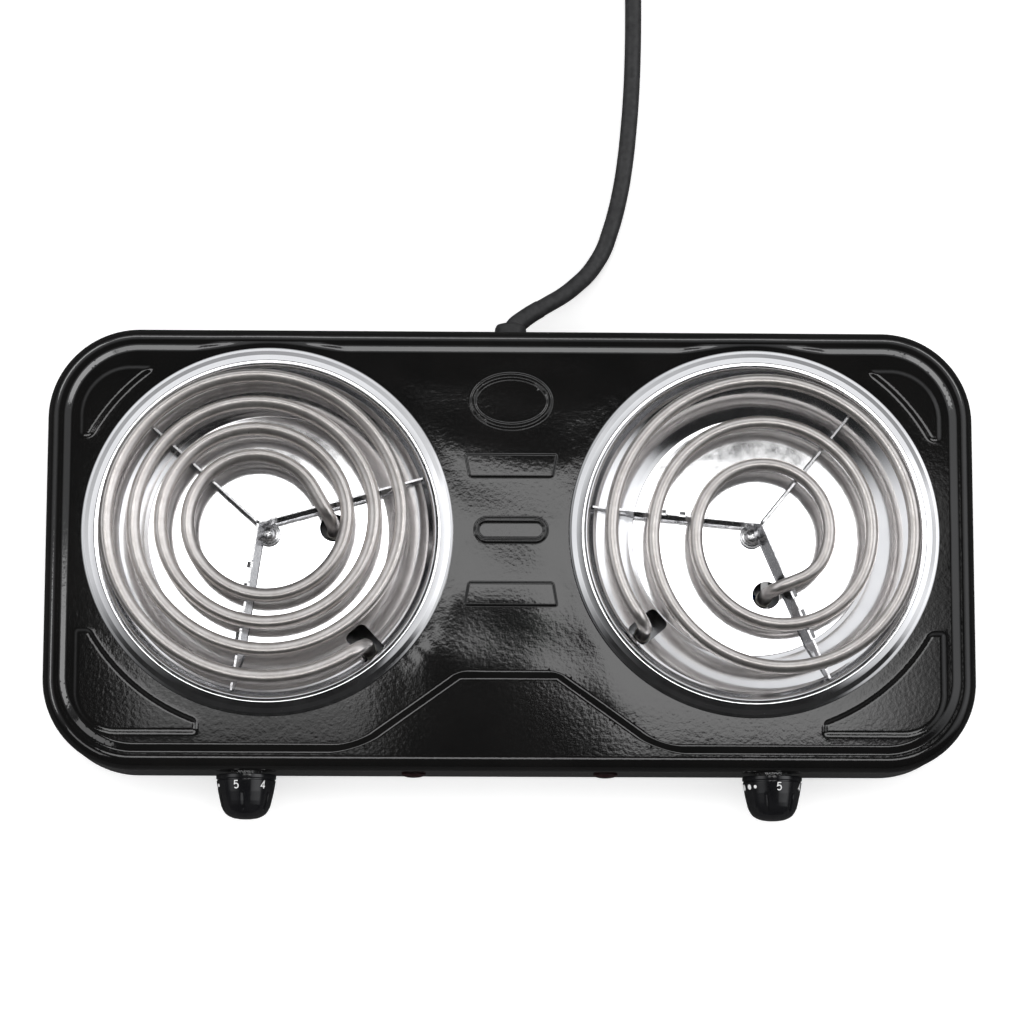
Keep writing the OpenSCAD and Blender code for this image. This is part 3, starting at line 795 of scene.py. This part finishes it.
def make_shell():
    """The whole enamelled housing: plate, rounded edge, skirt, turned-in lip and inner faces."""
    b = Build()
    rim = outline(EDGE_R)
    holes = [ring_points((s * BURNER_X, BURNER_Y), HOLE_R, 144) for s in (-1, 1)]

    def inside(x, y):
        return ((rounded_box(x, y, HALF_W - EDGE_R, HALF_D - EDGE_R, CORNER_R - EDGE_R) < 0.2)
                & (away_from_burners(x, y) > HOLE_R - 0.05))

    rows, tops = plate(b, [[p for p, _ in rim], *holes], shell_points(), inside, shell_height)
    away = np.array([d for _, d in rim])
    start = tops[0]
    edge_z = TOP - MARGIN_DROP
    wall_z = edge_z - EDGE_R

    def ring(out, z, blend=0.0):
        """A row round the body: out from the top's loop, at z, lifted where the loop is higher."""
        return np.column_stack([start[:, :2] + away * out, z + (start[:, 2] - edge_z) * blend])

    # Down the outside: how far out, height, share of the plate's unevenness, and the normal
    profile = []
    for a in np.radians(np.arange(9, 91, 9)):
        s, c = math.sin(a), math.cos(a)
        profile.append((EDGE_R * s, edge_z - EDGE_R * (1 - c), c, (s, c)))
    profile += [(EDGE_R, SKIRT + 0.8, 0, (1, 0)), (EDGE_R - 0.25, SKIRT + 0.25, 0, (0.7, -0.7)),
                (EDGE_R - 0.8, SKIRT, 0, (0, -1))]
    last_row, last_n = rows[0], np.tile([0.0, 0, 1], (len(rim), 1))
    for out, z, blend, (side, up) in profile:
        row = b.add(ring(out, z, blend))
        n = np.column_stack([away * side, np.full(len(rim), up)])
        b.strip(row, last_row, normals=(n, last_n))
        last_row, last_n = row, n
    # Turned-in lip, then back up inside the wall to a flat inner face
    inner_r = EDGE_R - SHEET
    inner = [(EDGE_R - LIP, SKIRT), (EDGE_R - LIP, SKIRT + SHEET), (inner_r, SKIRT + SHEET),
             (inner_r, wall_z)]
    for a in np.radians(np.arange(72, -1, -18)):
        inner.append((inner_r * math.sin(a), wall_z + inner_r * math.cos(a)))
    for out, z in inner:
        row = b.add(ring(out, z))
        b.strip(row, last_row)
        last_row = row
    low_rows = [last_row]
    inner_loop = b.points[-1][:, :2]
    for loop, row in zip(holes, rows[1:]):
        low_rows.append(b.add([(x, y, wall_z + inner_r) for x, y in loop]))
        b.strip(row, low_rows[-1])
    xy, tri, spans = triangulate([inner_loop, *holes])
    vertex = {new: old for span, row in zip(spans, low_rows) for new, old in zip(span, row)}
    middle = xy[tri].mean(axis=1)
    for corners in tri[inside(middle[:, 0], middle[:, 1])]:
        b.face([vertex[i] for i in corners[::-1]], [(0, 0, -1)] * 3)
    b.shift((0, BODY_Y, 0))
    return place(b.make("enamel_shell", "black_enamel"), "black_enamel", "top_housing")


shell = make_shell()

# ---- burners ----
# Plan places are from the middle of the burner

Coil = namedtuple("Coil", "joint centre radius step start end run")
# As in the CAD: the angle where the half turns join, the first half turn's centre and radius, the
# drop in radius per half turn, the start and end angles, and the straight run to the inner leg
COILS = {"left": Coil(213, (-0.3, 7), 78.2, 6.55, 301, -1050, 10),
         "right": Coil(-21, (4, 1), 73, 10.3, 212, -788, 7)}
COIL_ANGLE_STEP = 2.5
OUTER_RUN = 1
LEG_BEND = 9
LEG_STEP = 1.5
LEG_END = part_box("element_left")[0].z / MM
# Each spider's arms: the strip's two ends, then the single arm. An arm has its angle, how far its
# lower edge leans, the side its tabs stand out on, and each tab's near and far ends
ARMS = {"left": [(19, 0.6, -1, []),
                 (258, -2.5, 1, [(25.3, 28.6), (35.8, 40.6), (50, 53.5), (59.7, 64)]),
                 (138, 0.9, 1, [])],
        "right": [(171, -0.6, 1, [(43, 46.3), (52.5, 57.3)]),
                  (297, 2.5, -1, [(40.5, 45.3), (51.5, 55), (62, 67)]),
                  (51, -0.9, -1, [(33, 36.5), (52, 56)])]}
ARM_HALF = 0.5
SINGLE_ARM_GAP = 1.1
TIP_R = 79
APEX = 6
PAN_R = 89.7
PAN_BORE = 2.6
PAN_SHEET = 0.75
LEG_HOLE_R = 6.8
SLOT_LENGTH, SLOT_WIDTH, SLOT_CORNER = 18, 11.6, 3


def at_burner(side):
    return lifted(BURNERS[side])


def coil_point(coil, a):
    turn = 0 if a > coil.joint else 1 + math.floor((coil.joint - a) / 180)
    centre = np.array(coil.centre) + (polar(coil.step, coil.joint) if turn % 2 else 0)
    return centre + polar(coil.radius - turn * coil.step, a)


def outer_leg(coil):
    return coil_point(coil, coil.start) + polar(LEG_BEND + OUTER_RUN, coil.start + 90)


def inner_leg(coil):
    return coil_point(coil, coil.end) + polar(LEG_BEND + coil.run, coil.end - 90)


def leg(p, angle, run):
    """A straight run on from a coil's end, then a quarter bend down to the leg's end."""
    steps = max(2, int(run / LEG_STEP))
    out = [lifted(p + polar(run * k / steps, angle), COIL_Z) for k in range(1, steps)]
    for a in np.radians(np.arange(0, 91, 5)):
        q = p + polar(run + LEG_BEND * math.sin(a), angle)
        out.append(lifted(q, COIL_Z - LEG_BEND * (1 - math.cos(a))))
    q = p + polar(run + LEG_BEND, angle)
    return out + [lifted(q, z) for z in np.linspace(COIL_Z - LEG_BEND, LEG_END, 8)[1:]]


def coil_line(coil):
    count = int((coil.start - coil.end) / COIL_ANGLE_STEP) + 1
    turns = [lifted(coil_point(coil, coil.start - COIL_ANGLE_STEP * k), COIL_Z) for k in range(count)]
    outer = leg(coil_point(coil, coil.start), coil.start + 90, OUTER_RUN)
    return outer[::-1] + turns + leg(coil_point(coil, coil.end), coil.end - 90, coil.run)


def tube_section():
    """A round tube pressed a little flat on top, where cookware stands."""
    squeeze = 0.62
    knee = TUBE_R * squeeze
    out = []
    for a in turns_of(28):
        y = TUBE_R * math.sin(a)
        out.append((TUBE_R * math.cos(a), knee + (y - knee) * squeeze if y > knee else y))
    return out


def make_element(side):
    b = Build()
    path = np.array(coil_line(COILS[side])) + at_burner(side)
    keep = [0] + [i for i in range(1, len(path)) if np.linalg.norm(path[i] - path[i - 1]) > 0.05]
    sweep(b, path[keep], tube_section(), up=(0.6, 0.8, 0))
    return place(b.make("coil_" + side, "element_sheath"), "element_sheath", "element_" + side)


def pan_profile():
    """The pan's upper surface as (radius, height above the plate), its bends rounded."""
    f = PAN_FLOOR - TOP
    line = [(PAN_BORE, f), (58.4, f), (60.4, f + 0.95), (76.8, -3.75), (77.9, -3.3), (79.75, 1.4),
            (81.1, 2.7), (83.2, 2.95), (86, 2.05), (88.2, 0.8), (88.9, 0.62), (PAN_R, 0.35)]
    return fillet(line, [0, 1.5, 1.2, 0.5, 0.7, 1.0, 1.4, 1.6, 1.2, 0.5, 0.3, 0], 4)


PAN = pan_profile()


def pan_height(x, y):
    return TOP + np.interp(np.hypot(x, y), PAN[:, 0], PAN[:, 1])


def turned(x, y, degrees):
    c, s = math.cos(math.radians(degrees)), math.sin(math.radians(degrees))
    return x * c - y * s, x * s + y * c


def leg_slot(coil):
    """The slot for the outer leg, which runs in from the rim: its outline and a distance from it."""
    at = outer_leg(coil)
    angle = math.degrees(math.atan2(at[1], at[0]))
    centre = polar(np.linalg.norm(at) - 2, angle)
    half_l, half_w = SLOT_LENGTH / 2, SLOT_WIDTH / 2
    x, y = half_l - SLOT_CORNER, half_w - SLOT_CORNER
    loop = []
    for cx, cy, a0 in ((x, y, 0), (-x, y, 90), (-x, -y, 180), (x, -y, 270)):
        for k in range(7):
            p = np.array([cx, cy]) + polar(SLOT_CORNER, a0 + 15 * k)
            loop.append(centre + turned(*p, angle))
    dense = []
    for a, c in zip(loop, loop[1:] + loop[:1]):
        n = max(1, int(np.linalg.norm(c - a) / 1.5))
        dense += [tuple(a + (c - a) * k / n) for k in range(n)]

    def distance(x, y):
        u, v = turned(x - centre[0], y - centre[1], -angle)
        return rounded_box(u, v, half_l, half_w, SLOT_CORNER)

    return dense, distance


def make_pan(side):
    b = Build()
    hole = inner_leg(COILS[side])
    slot, from_slot = leg_slot(COILS[side])
    loops = [ring_points((0, 0), PAN_R, 240), ring_points((0, 0), PAN_BORE, 24),
             ring_points(hole, LEG_HOLE_R, 48), slot]
    radii = {6.0, 9.5, *np.round(PAN[1:-1, 0], 3), *np.arange(20, 57, 4.5), *np.arange(61.5, 76, 3.5)}
    inner = []
    for r in sorted(radii):
        inner += ring_points((0, 0), r, 240 if r > 40 else 120 if r > 15 else 48)
    inner = np.array(inner)

    def clear(x, y, from_hole, slot_gap):
        return (np.hypot(x - hole[0], y - hole[1]) > LEG_HOLE_R + from_hole) & (from_slot(x, y) > slot_gap)

    def inside(x, y):
        r = np.hypot(x, y)
        return (r < PAN_R + 0.05) & (r > PAN_BORE - 0.02) & clear(x, y, -0.01, -0.02)

    plate(b, loops, inner[clear(*inner.T, 0.6, 0.5)], inside, pan_height, PAN_SHEET)
    b.shift(at_burner(side))
    return place(b.make("pan_" + side, "mirror_steel"), "mirror_steel", "drip_pan_" + side)


def arm_blade(b, start, arm, foot):
    """An arm on edge, its lower edge leaning sideways, with tabs pressed out beside the coil."""
    angle, lean, tab_side, tabs = arm
    run = polar(TIP_R, angle) - start
    length = float(np.linalg.norm(run))
    ahead = run / length
    side = np.array([ahead[1], -ahead[0]])
    tabs = [(near - np.linalg.norm(start), far - np.linalg.norm(start)) for near, far in tabs]
    low, step_z = PAN_FLOOR + 3.2, TOP - 3
    shape = [(foot, ARM_TOP)]
    for near, far in tabs:
        shape += [(near - 0.5, ARM_TOP), (near - 0.2, ARM_TOP - 1), (far + 0.2, ARM_TOP - 1),
                  (far + 0.5, ARM_TOP)]
    shape += [(length, ARM_TOP), (length - 1.1, step_z), (length - 15.5, step_z), (length - 19, low),
              (foot, low)]

    def face_at(w):
        return [lifted(start + ahead * s + side * (w + lean * (ARM_TOP - z) / (ARM_TOP - low)), z)
                for s, z in shape]

    b.loft([face_at(ARM_HALF), face_at(-ARM_HALF)])
    tab = [(ARM_HALF - 0.1, -1), (ARM_HALF + 1.5, -1.25), (ARM_HALF + 1.6, -2.1), (ARM_HALF - 0.1, -1.95)]
    for near, far in tabs:
        b.loft([[lifted(start + ahead * s + side * (w * tab_side), ARM_TOP + z) for w, z in tab[::tab_side]]
                for s in (near + 0.15, far - 0.15)])


def make_spiders(side):
    first, second, single = ARMS[side]
    towards = single[0]
    apex = polar(APEX, towards)
    f = PAN_FLOOR + 0.05
    b = Build()
    for arm in (first, second):
        arm_blade(b, apex, arm, 0)
    bend = fillet([(0, f), (0.85, f), (0.85, ARM_TOP), (0, ARM_TOP)], 0.15, 2)
    revolve(b, bend, lifted(apex), (0, 0, 1), 24)
    lug = fillet([(2.2, f), (6, f), (6, f + 1.2), (2.2, f + 1.2), (2.2, f)], [0, 0.3, 0.3, 0.2, 0], 3)
    revolve(b, lug, (0, 0, 0), (0, 0, 1), 64)
    axes = lifted(polar(1, towards)), lifted(polar(1, towards + 90)), np.array([0, 0, 1.0])
    box_piece(b, lifted(polar(APEX / 2 + 1.2, towards), PAN_FLOOR + 0.65), axes, (2.3, 3, 0.58), 0.15)
    b.shift(at_burner(side))
    place(b.make("spider_" + side, "arm_steel", 30), "arm_steel", "spider_strip_" + side)
    s = Build()
    arm_blade(s, apex, single, SINGLE_ARM_GAP)
    s.shift(at_burner(side))
    place(s.make("single_arm_" + side, "arm_steel", 30), "arm_steel", "spider_arm_" + side)


def screw_head(b, centre, r, h):
    """A cross-recess head standing on its centre point: a dome with a real cross-shaped pit."""
    turns = turns_of(64)
    star = np.abs(np.cos(2 * (turns + math.radians(20)))) ** 4
    cross = r * (0.16 + 0.42 * star)

    def ring(radii, z):
        x, y = centre[0] + radii * np.cos(turns), centre[1] + radii * np.sin(turns)
        return np.column_stack([x, y, np.full(len(turns), centre[2] + z)])

    dome = ((1, 0), (1, 0.28), (0.96, 0.5), (0.86, 0.74), (0.72, 0.9), (0.64, 0.96))
    pit = ((1, 1), (0.93, 0.62), (0.55, 0.45))
    b.loft([ring(np.full(len(turns), r * k), h * z) for k, z in dome]
           + [ring(cross * k, h * z) for k, z in pit])


def make_hub(side):
    b = Build()
    at = lifted(BURNERS[side], PAN_FLOOR + 1.3)
    washer = fillet([(2.1, 0), (5, 0), (5, 0.45), (2.1, 0.45), (2.1, 0)], [0, 0.1, 0.15, 0, 0], 2)
    revolve(b, washer, at, (0, 0, 1), 64)
    screw_head(b, at + (0, 0, 0.45), 3.9, 2.3)
    shank = fillet([(0, -14), (1.6, -14), (1.95, -13.4), (1.95, 0.5), (0, 0.5)], 0.05, 2)
    revolve(b, shank, at, (0, 0, 1), 32)
    place(b.make("hub_fastener_" + side, "screw_steel", 32), "screw_steel", "hub_screw_" + side)


for side in SIDES:
    make_pan(side)
    make_element(side)
    make_spiders(side)
    make_hub(side)

# ---- controls ----

# The knob's outside from its hollow back to its tip, as (radius, distance out, bend radius)
KNOB = [(9.9, 1, 0), (14.2, 1, 0.2), (14.5, 1.3, 0.2), (14.5, 3, 0.3), (13.9, 3.3, 0.1), (13.9, 3.75, 0.1),
        (14.3, 4, 0.2), (14.2, 4.6, 0.3), (13.4, 9.5, 4), (12.4, 14, 6), (11.8, 16.3, 5), (10.7, 18.5, 4),
        (9.6, 19.9, 3), (8.2, 20.9, 3), (5.8, 21.9, 4), (2.9, 22.35, 6), (0, 22.5, 0)]
KNOB_SKIRT_ROWS = 6
KNOB_HOLLOW = 5.8
FLUTES = 6
FLUTE_DEPTH = 0.72
# Angles from straight up, positive to the right, of each dial's "5", and its flutes' first one
DIAL = {"left": (-17, -5), "right": (9, -17)}
SIGN_STEP = 56
SIGN_SCALE = 0.88
SIGN_TOP = 8.1
SIGN_HALF = 0.3
DOT_Z = 6.4
DOTS = ((-89, 1.6), (-66, 1.3), (-50, 0.85))


def knob_radius(z):
    body = KNOB[KNOB_SKIRT_ROWS:]
    return np.interp(z, [p[1] for p in body], [p[0] for p in body])


def denser(line, step):
    """A line with points at most a step apart or a little more."""
    out = [line[0]]
    for a, c in zip(line, line[1:]):
        n = max(1, int(np.linalg.norm(c - a) / step))
        out += [a + (c - a) * k / n for k in range(1, n + 1)]
    return np.array(out)


def make_knob(side):
    b = Build()
    shaft = centre_of("control_shaft_" + side)
    origin = (shaft.x, FRONT, shaft.z)
    five, first_flute = DIAL[side]

    def fluted(r, z, turns):
        # turns run from the -X side; up is a quarter turn back
        pitch = 2 * math.pi / FLUTES
        off = (-math.pi / 2 - turns - math.radians(first_flute) + pitch / 2) % pitch - pitch / 2
        across = off * r
        groove = np.clip(np.minimum((across + 0.95) * 0.5, (0.95 - across) * 1.9), 0, FLUTE_DEPTH)
        return r - groove * smoothstep(9.2, 9.9, z) * (1 - smoothstep(17.2, 19.5, z))

    line = denser(fillet([p[:2] for p in KNOB], [p[2] for p in KNOB], 4), 0.45)
    rows = revolve(b, line, origin, (0, -1, 0), 300, fluted)
    # Hollow back, up to the socket round the shaft
    deep = b.add(ring_round(origin, np.array([0, -1, 0]), np.full(300, KNOB[0][0]), KNOB_HOLLOW))
    b.strip(deep, rows[0])
    b.face(deep[::-1])
    knob = b.make("dial_" + side, "knob_plastic", 28)
    place(knob, "knob_plastic", "knob_" + side, body="control_" + side)

    def wrap(angle, across, z, lift):
        r = knob_radius(z) + lift
        t = math.radians(angle) + across / knob_radius(z)
        return (origin[0] + r * math.sin(t), origin[1] - z, origin[2] + r * math.cos(t))

    p = Build()
    for step, digit in enumerate("54321"):
        stroke_digit(p, digit, five + step * SIGN_STEP, wrap)
    for turn, radius in DOTS:
        def ring(share, lift):
            reach = radius * share
            return [wrap(five + turn, reach * math.cos(a), DOT_Z + reach * math.sin(a), lift)
                    for a in turns_of(24)]
        centre, = p.add([wrap(five + turn, 0, DOT_Z, 0.09)])
        rows = p.loft([ring(0.5, 0.09), ring(0.96, 0.09), ring(1, -0.1), ring(0.5, -0.1)], caps=False)
        p.face(rows[-1])
        for i in range(24):
            p.face((centre, rows[0][(i + 1) % 24], rows[0][i]))
    place(p.make("dial_signs_" + side, "dial_print", 60), None, body="control_" + side)


def arc(cx, cy, rx, ry, a0, a1, n=14):
    """Points on an ellipse's arc from angle a0 to a1."""
    angles = [math.radians(a0 + (a1 - a0) * k / n) for k in range(n + 1)]
    return [(cx + rx * math.cos(a), cy + ry * math.sin(a)) for a in angles]


# Numerals as strokes in a box 2.5 wide and 4 high, with y up
STROKES = {
    "5": [(2.3, 4), (0.55, 4), (0.3, 2.15)] + arc(1.25, 1.3, 1.2, 1.3, 128, -140),
    "4": [(1.85, 0), (1.85, 4), (0.0, 1.15), (2.6, 1.15)],
    "3": arc(1.2, 3.0, 1.0, 1.0, 160, -80) + arc(1.2, 1.1, 1.2, 1.1, 80, -150),
    "2": arc(1.25, 2.9, 1.1, 1.1, 170, -30) + [(0.15, 0), (2.5, 0)],
    "1": [(0.6, 3.2), (1.5, 4), (1.5, 0)],
}
# The ribbon's section as (share of its half width, lift)
RIBBON = ((-1, -0.1), (-0.9, 0.07), (0, 0.08), (0.9, 0.07), (1, -0.1))


def stroke_digit(p, digit, angle, wrap):
    """A numeral laid on the dial as a ribbon, its top towards the body."""
    line = denser(np.array(STROKES[digit], float), 0.3)
    along = unit_rows(np.diff(line, axis=0))
    left = np.stack([-along[:, 1], along[:, 0]], 1)
    # Mitred offsets keep the ribbon's width through corners
    side = unit_rows(np.vstack([left[:1], left[:-1] + left[1:], left[-1:]]))
    mitre = [1 / max(0.55, float(side[i] @ left[i])) for i in range(1, len(left))]
    side *= np.array([1, *mitre, 1])[:, None] * SIGN_HALF
    rings = []
    for q, s in zip(line, side):
        spots = [(q + s * w, lift) for w, lift in RIBBON]
        rings.append([wrap(angle, SIGN_SCALE * (x - 1.25), SIGN_TOP - SIGN_SCALE * y, lift)
                      for (x, y), lift in spots])
    p.loft(rings[::-1])


def make_lamp(side):
    """A low faceless lens in a thin bezel."""
    b = Build()
    at = centre_of("lamp_lens_" + side)
    line = [(0, -6), (3.9, -6), (3.9, 0.1), (5.9, 0.1), (6.0, 0.6), (5.4, 0.95), (5.2, 0.8), (4.8, 1.25),
            (3.4, 1.75), (1.6, 1.95), (0, 2.0)]
    lens = fillet(line, [0, 0.3, 0, 0.1, 0.3, 0.15, 0.1, 0.6, 0.8, 0.8, 0], 4)
    revolve(b, lens, (at.x, FRONT, at.z), (0, -1, 0), 64)
    place(b.make("pilot_lens_" + side, "lamp_lens", 35), "lamp_lens", "lamp_lens_" + side)


for side in SIDES:
    make_knob(side)
    make_lamp(side)

# ---- CAD nodes that stay, with finishes ----

for row in frame["record"]["subparts"]:
    for held in nodes[row["node"]].material_slots:
        held.material = FINISH[row["material_slot"]]

# ---- floor, light and world ----
# Places of lights are from the middle of the body

FLOOR_HALF = 6
LIGHT_HEIGHT = 1200
KEY_X, KEY_Y, KEY_RADIANCE = (-310, 400), (-20, 245), 4.0
# Name, middle, size, turn and radiance of the panels that only the housing's slopes reflect
PANELS = (("front_panel", (50, -435), (1100, 250), 0, 4.0),
          ("left_panel", (-1660, -110), (480, 680), 0, 5.0),
          ("front_left_panel", (-1024, -904), (480, 700), 45, 2.5),
          ("back_left_panel", (-1437, 1322), (700, 1300), -45, 6.0),
          ("back_right_panel", (1485, 1365), (700, 1300), 45, 5.0),
          ("back_panel", (25, 1800), (1700, 600), 0, 4.0))


class Maths:
    """Scalar arithmetic in a node tree."""

    def __init__(self, tree):
        self.tree = tree

    def do(self, operation, *values):
        n = self.tree.nodes.new("ShaderNodeMath")
        n.operation = operation
        for socket, v in zip(n.inputs, values):
            if isinstance(v, (int, float)):
                socket.default_value = v
            else:
                self.tree.links.new(v, socket)
        return n.outputs[0]

    def product(self, first, *others):
        for other in others:
            first = self.do("MULTIPLY", first, other)
        return first

    def ramp(self, value, low, high, a=0.0, b=1.0):
        n = self.tree.nodes.new("ShaderNodeMapRange")
        n.interpolation_type = "SMOOTHSTEP"
        for key, v in (("From Min", low), ("From Max", high), ("To Min", a), ("To Max", b)):
            n.inputs[key].default_value = v
        self.tree.links.new(value, n.inputs["Value"])
        return n.outputs[0]


def make_floor():
    m = Finish("floor_white", {"Roughness": 0.9})
    tone = m.ramp(m.noise(60, 3), [(0.3, grey(0.92)), (0.7, grey(0.94))])
    # Polished parts see a darker room below them than the one that lights them
    ray = m.node("LightPath")
    mix = m.node("Mix", data_type="RGBA")
    m.link(ray.outputs["Is Glossy Ray"], mix.inputs["Factor"])
    m.link(tone, mix.inputs[6])
    mix.inputs[7].default_value = (0.05, 0.05, 0.05, 1)
    m.link(mix.outputs[2], m.shader.inputs["Base Color"])
    m.shader.inputs["Emission Color"].default_value = (1, 1, 1, 1)
    m.link(Maths(m.tree).product(ray.outputs["Is Camera Ray"], 0.34), m.shader.inputs["Emission Strength"])
    mesh = bpy.data.meshes.new("floor")
    corners = [(-FLOOR_HALF, -FLOOR_HALF, 0), (FLOOR_HALF, -FLOOR_HALF, 0), (FLOOR_HALF, FLOOR_HALF, 0),
               (-FLOOR_HALF, FLOOR_HALF, 0)]
    mesh.from_pydata(corners, [], [(0, 1, 2, 3)])
    mesh.materials.append(m.material)
    floor = bpy.data.objects.new("floor", mesh)
    scene.collection.objects.link(floor)


def make_panel(name, middle, size, turn, radiance):
    """A level rectangle of light above the plate, as bright as its radiance says."""
    data = bpy.data.lights.new(name, "AREA")
    data.shape = "RECTANGLE"
    data.size, data.size_y = size[0] * MM, size[1] * MM
    data.energy = radiance * math.pi * data.size * data.size_y
    light = bpy.data.objects.new(name, data)
    light.location = Vector((middle[0], BODY_Y + middle[1], TOP + LIGHT_HEIGHT)) * MM
    light.rotation_euler = (0, 0, math.radians(turn))
    light.visible_camera = False
    scene.collection.objects.link(light)
    return light


def make_key():
    """A large softbox above the plate and behind it, with flags that shade parts of it."""
    middle = [sum(ends) / 2 for ends in (KEY_X, KEY_Y)]
    size = [ends[1] - ends[0] for ends in (KEY_X, KEY_Y)]
    data = make_panel("key", middle, size, 0, KEY_RADIANCE).data
    data.use_nodes = True
    tree = data.node_tree
    m = Maths(tree)
    spot = tree.nodes.new("ShaderNodeNewGeometry")
    split = tree.nodes.new("ShaderNodeSeparateXYZ")
    tree.links.new(spot.outputs["Position"], split.inputs[0])
    x = m.product(split.outputs["X"], 1 / MM)
    y = m.do("SUBTRACT", m.product(split.outputs["Y"], 1 / MM), float(BODY_Y))
    across = m.product(m.ramp(x, -305, -280), m.ramp(x, 290, 385, 1, 0.15))
    along = m.product(m.ramp(y, -15, 10), m.ramp(y, 222, 240, 1, 0))
    # The flag's slanted edge
    slant = m.do("SUBTRACT", m.do("ADD", x, m.product(y, 0.816)), 115.5)
    flag = m.product(m.ramp(y, 114, 130, 1, 0), m.ramp(slant, -9, 9, 1, 0), m.ramp(x, -100, -86))
    weak = m.product(m.ramp(y, 20, 90, 0.6, 0), m.ramp(x, -98, -88, 1, 0))
    level = m.product(across, along, m.do("SUBTRACT", 1.0, flag), m.do("SUBTRACT", 1.0, weak))
    tree.links.new(level, tree.nodes["Emission"].inputs["Strength"])


def make_side_panels():
    lit = bpy.data.collections.new("lit_by_panels")
    lit.objects.link(shell)
    for row in PANELS:
        make_panel(*row).light_linking.receiver_collection = lit


def make_world():
    """Even light, but polished parts see bright walls, a panel on the right and dark elsewhere."""
    world = bpy.data.worlds.new("studio")
    scene.world = world
    world.use_nodes = True
    t = world.node_tree
    t.nodes.clear()
    out, mix, ray, plain, seen, where, split = (t.nodes.new("ShaderNode" + kind) for kind in (
        "OutputWorld", "MixShader", "LightPath", "Background", "Background", "TexCoord", "SeparateXYZ"))
    plain.inputs["Color"].default_value = (1, 1, 1, 1)
    plain.inputs["Strength"].default_value = 1.15
    seen.inputs["Color"].default_value = (0.97, 0.98, 1.0, 1)
    t.links.new(where.outputs["Generated"], split.inputs[0])
    m = Maths(t)
    x, y, z = (split.outputs[k] for k in "XYZ")
    walls = m.product(m.ramp(z, 0.72, 0.93, 1, 0), m.ramp(z, 0.2, 0.6, 0.05, 1),
                      m.ramp(y, -0.45, 0.0, 0.01, 1))
    panel = m.product(m.ramp(x, 0.34, 0.42), m.ramp(x, 0.86, 0.93, 1, 0),
                      m.ramp(m.do("ABSOLUTE", y), 0.3, 0.45, 1, 0))
    total = m.do("MULTIPLY_ADD", panel, 0.55, m.do("MULTIPLY_ADD", walls, 0.95, 0.008))
    t.links.new(total, seen.inputs["Strength"])
    t.links.new(ray.outputs["Is Glossy Ray"], mix.inputs[0])
    t.links.new(plain.outputs[0], mix.inputs[1])
    t.links.new(seen.outputs[0], mix.inputs[2])
    t.links.new(mix.outputs[0], out.inputs["Surface"])


make_floor()
make_world()
make_key()
make_side_panels()
scene.view_settings.view_transform = "Standard"
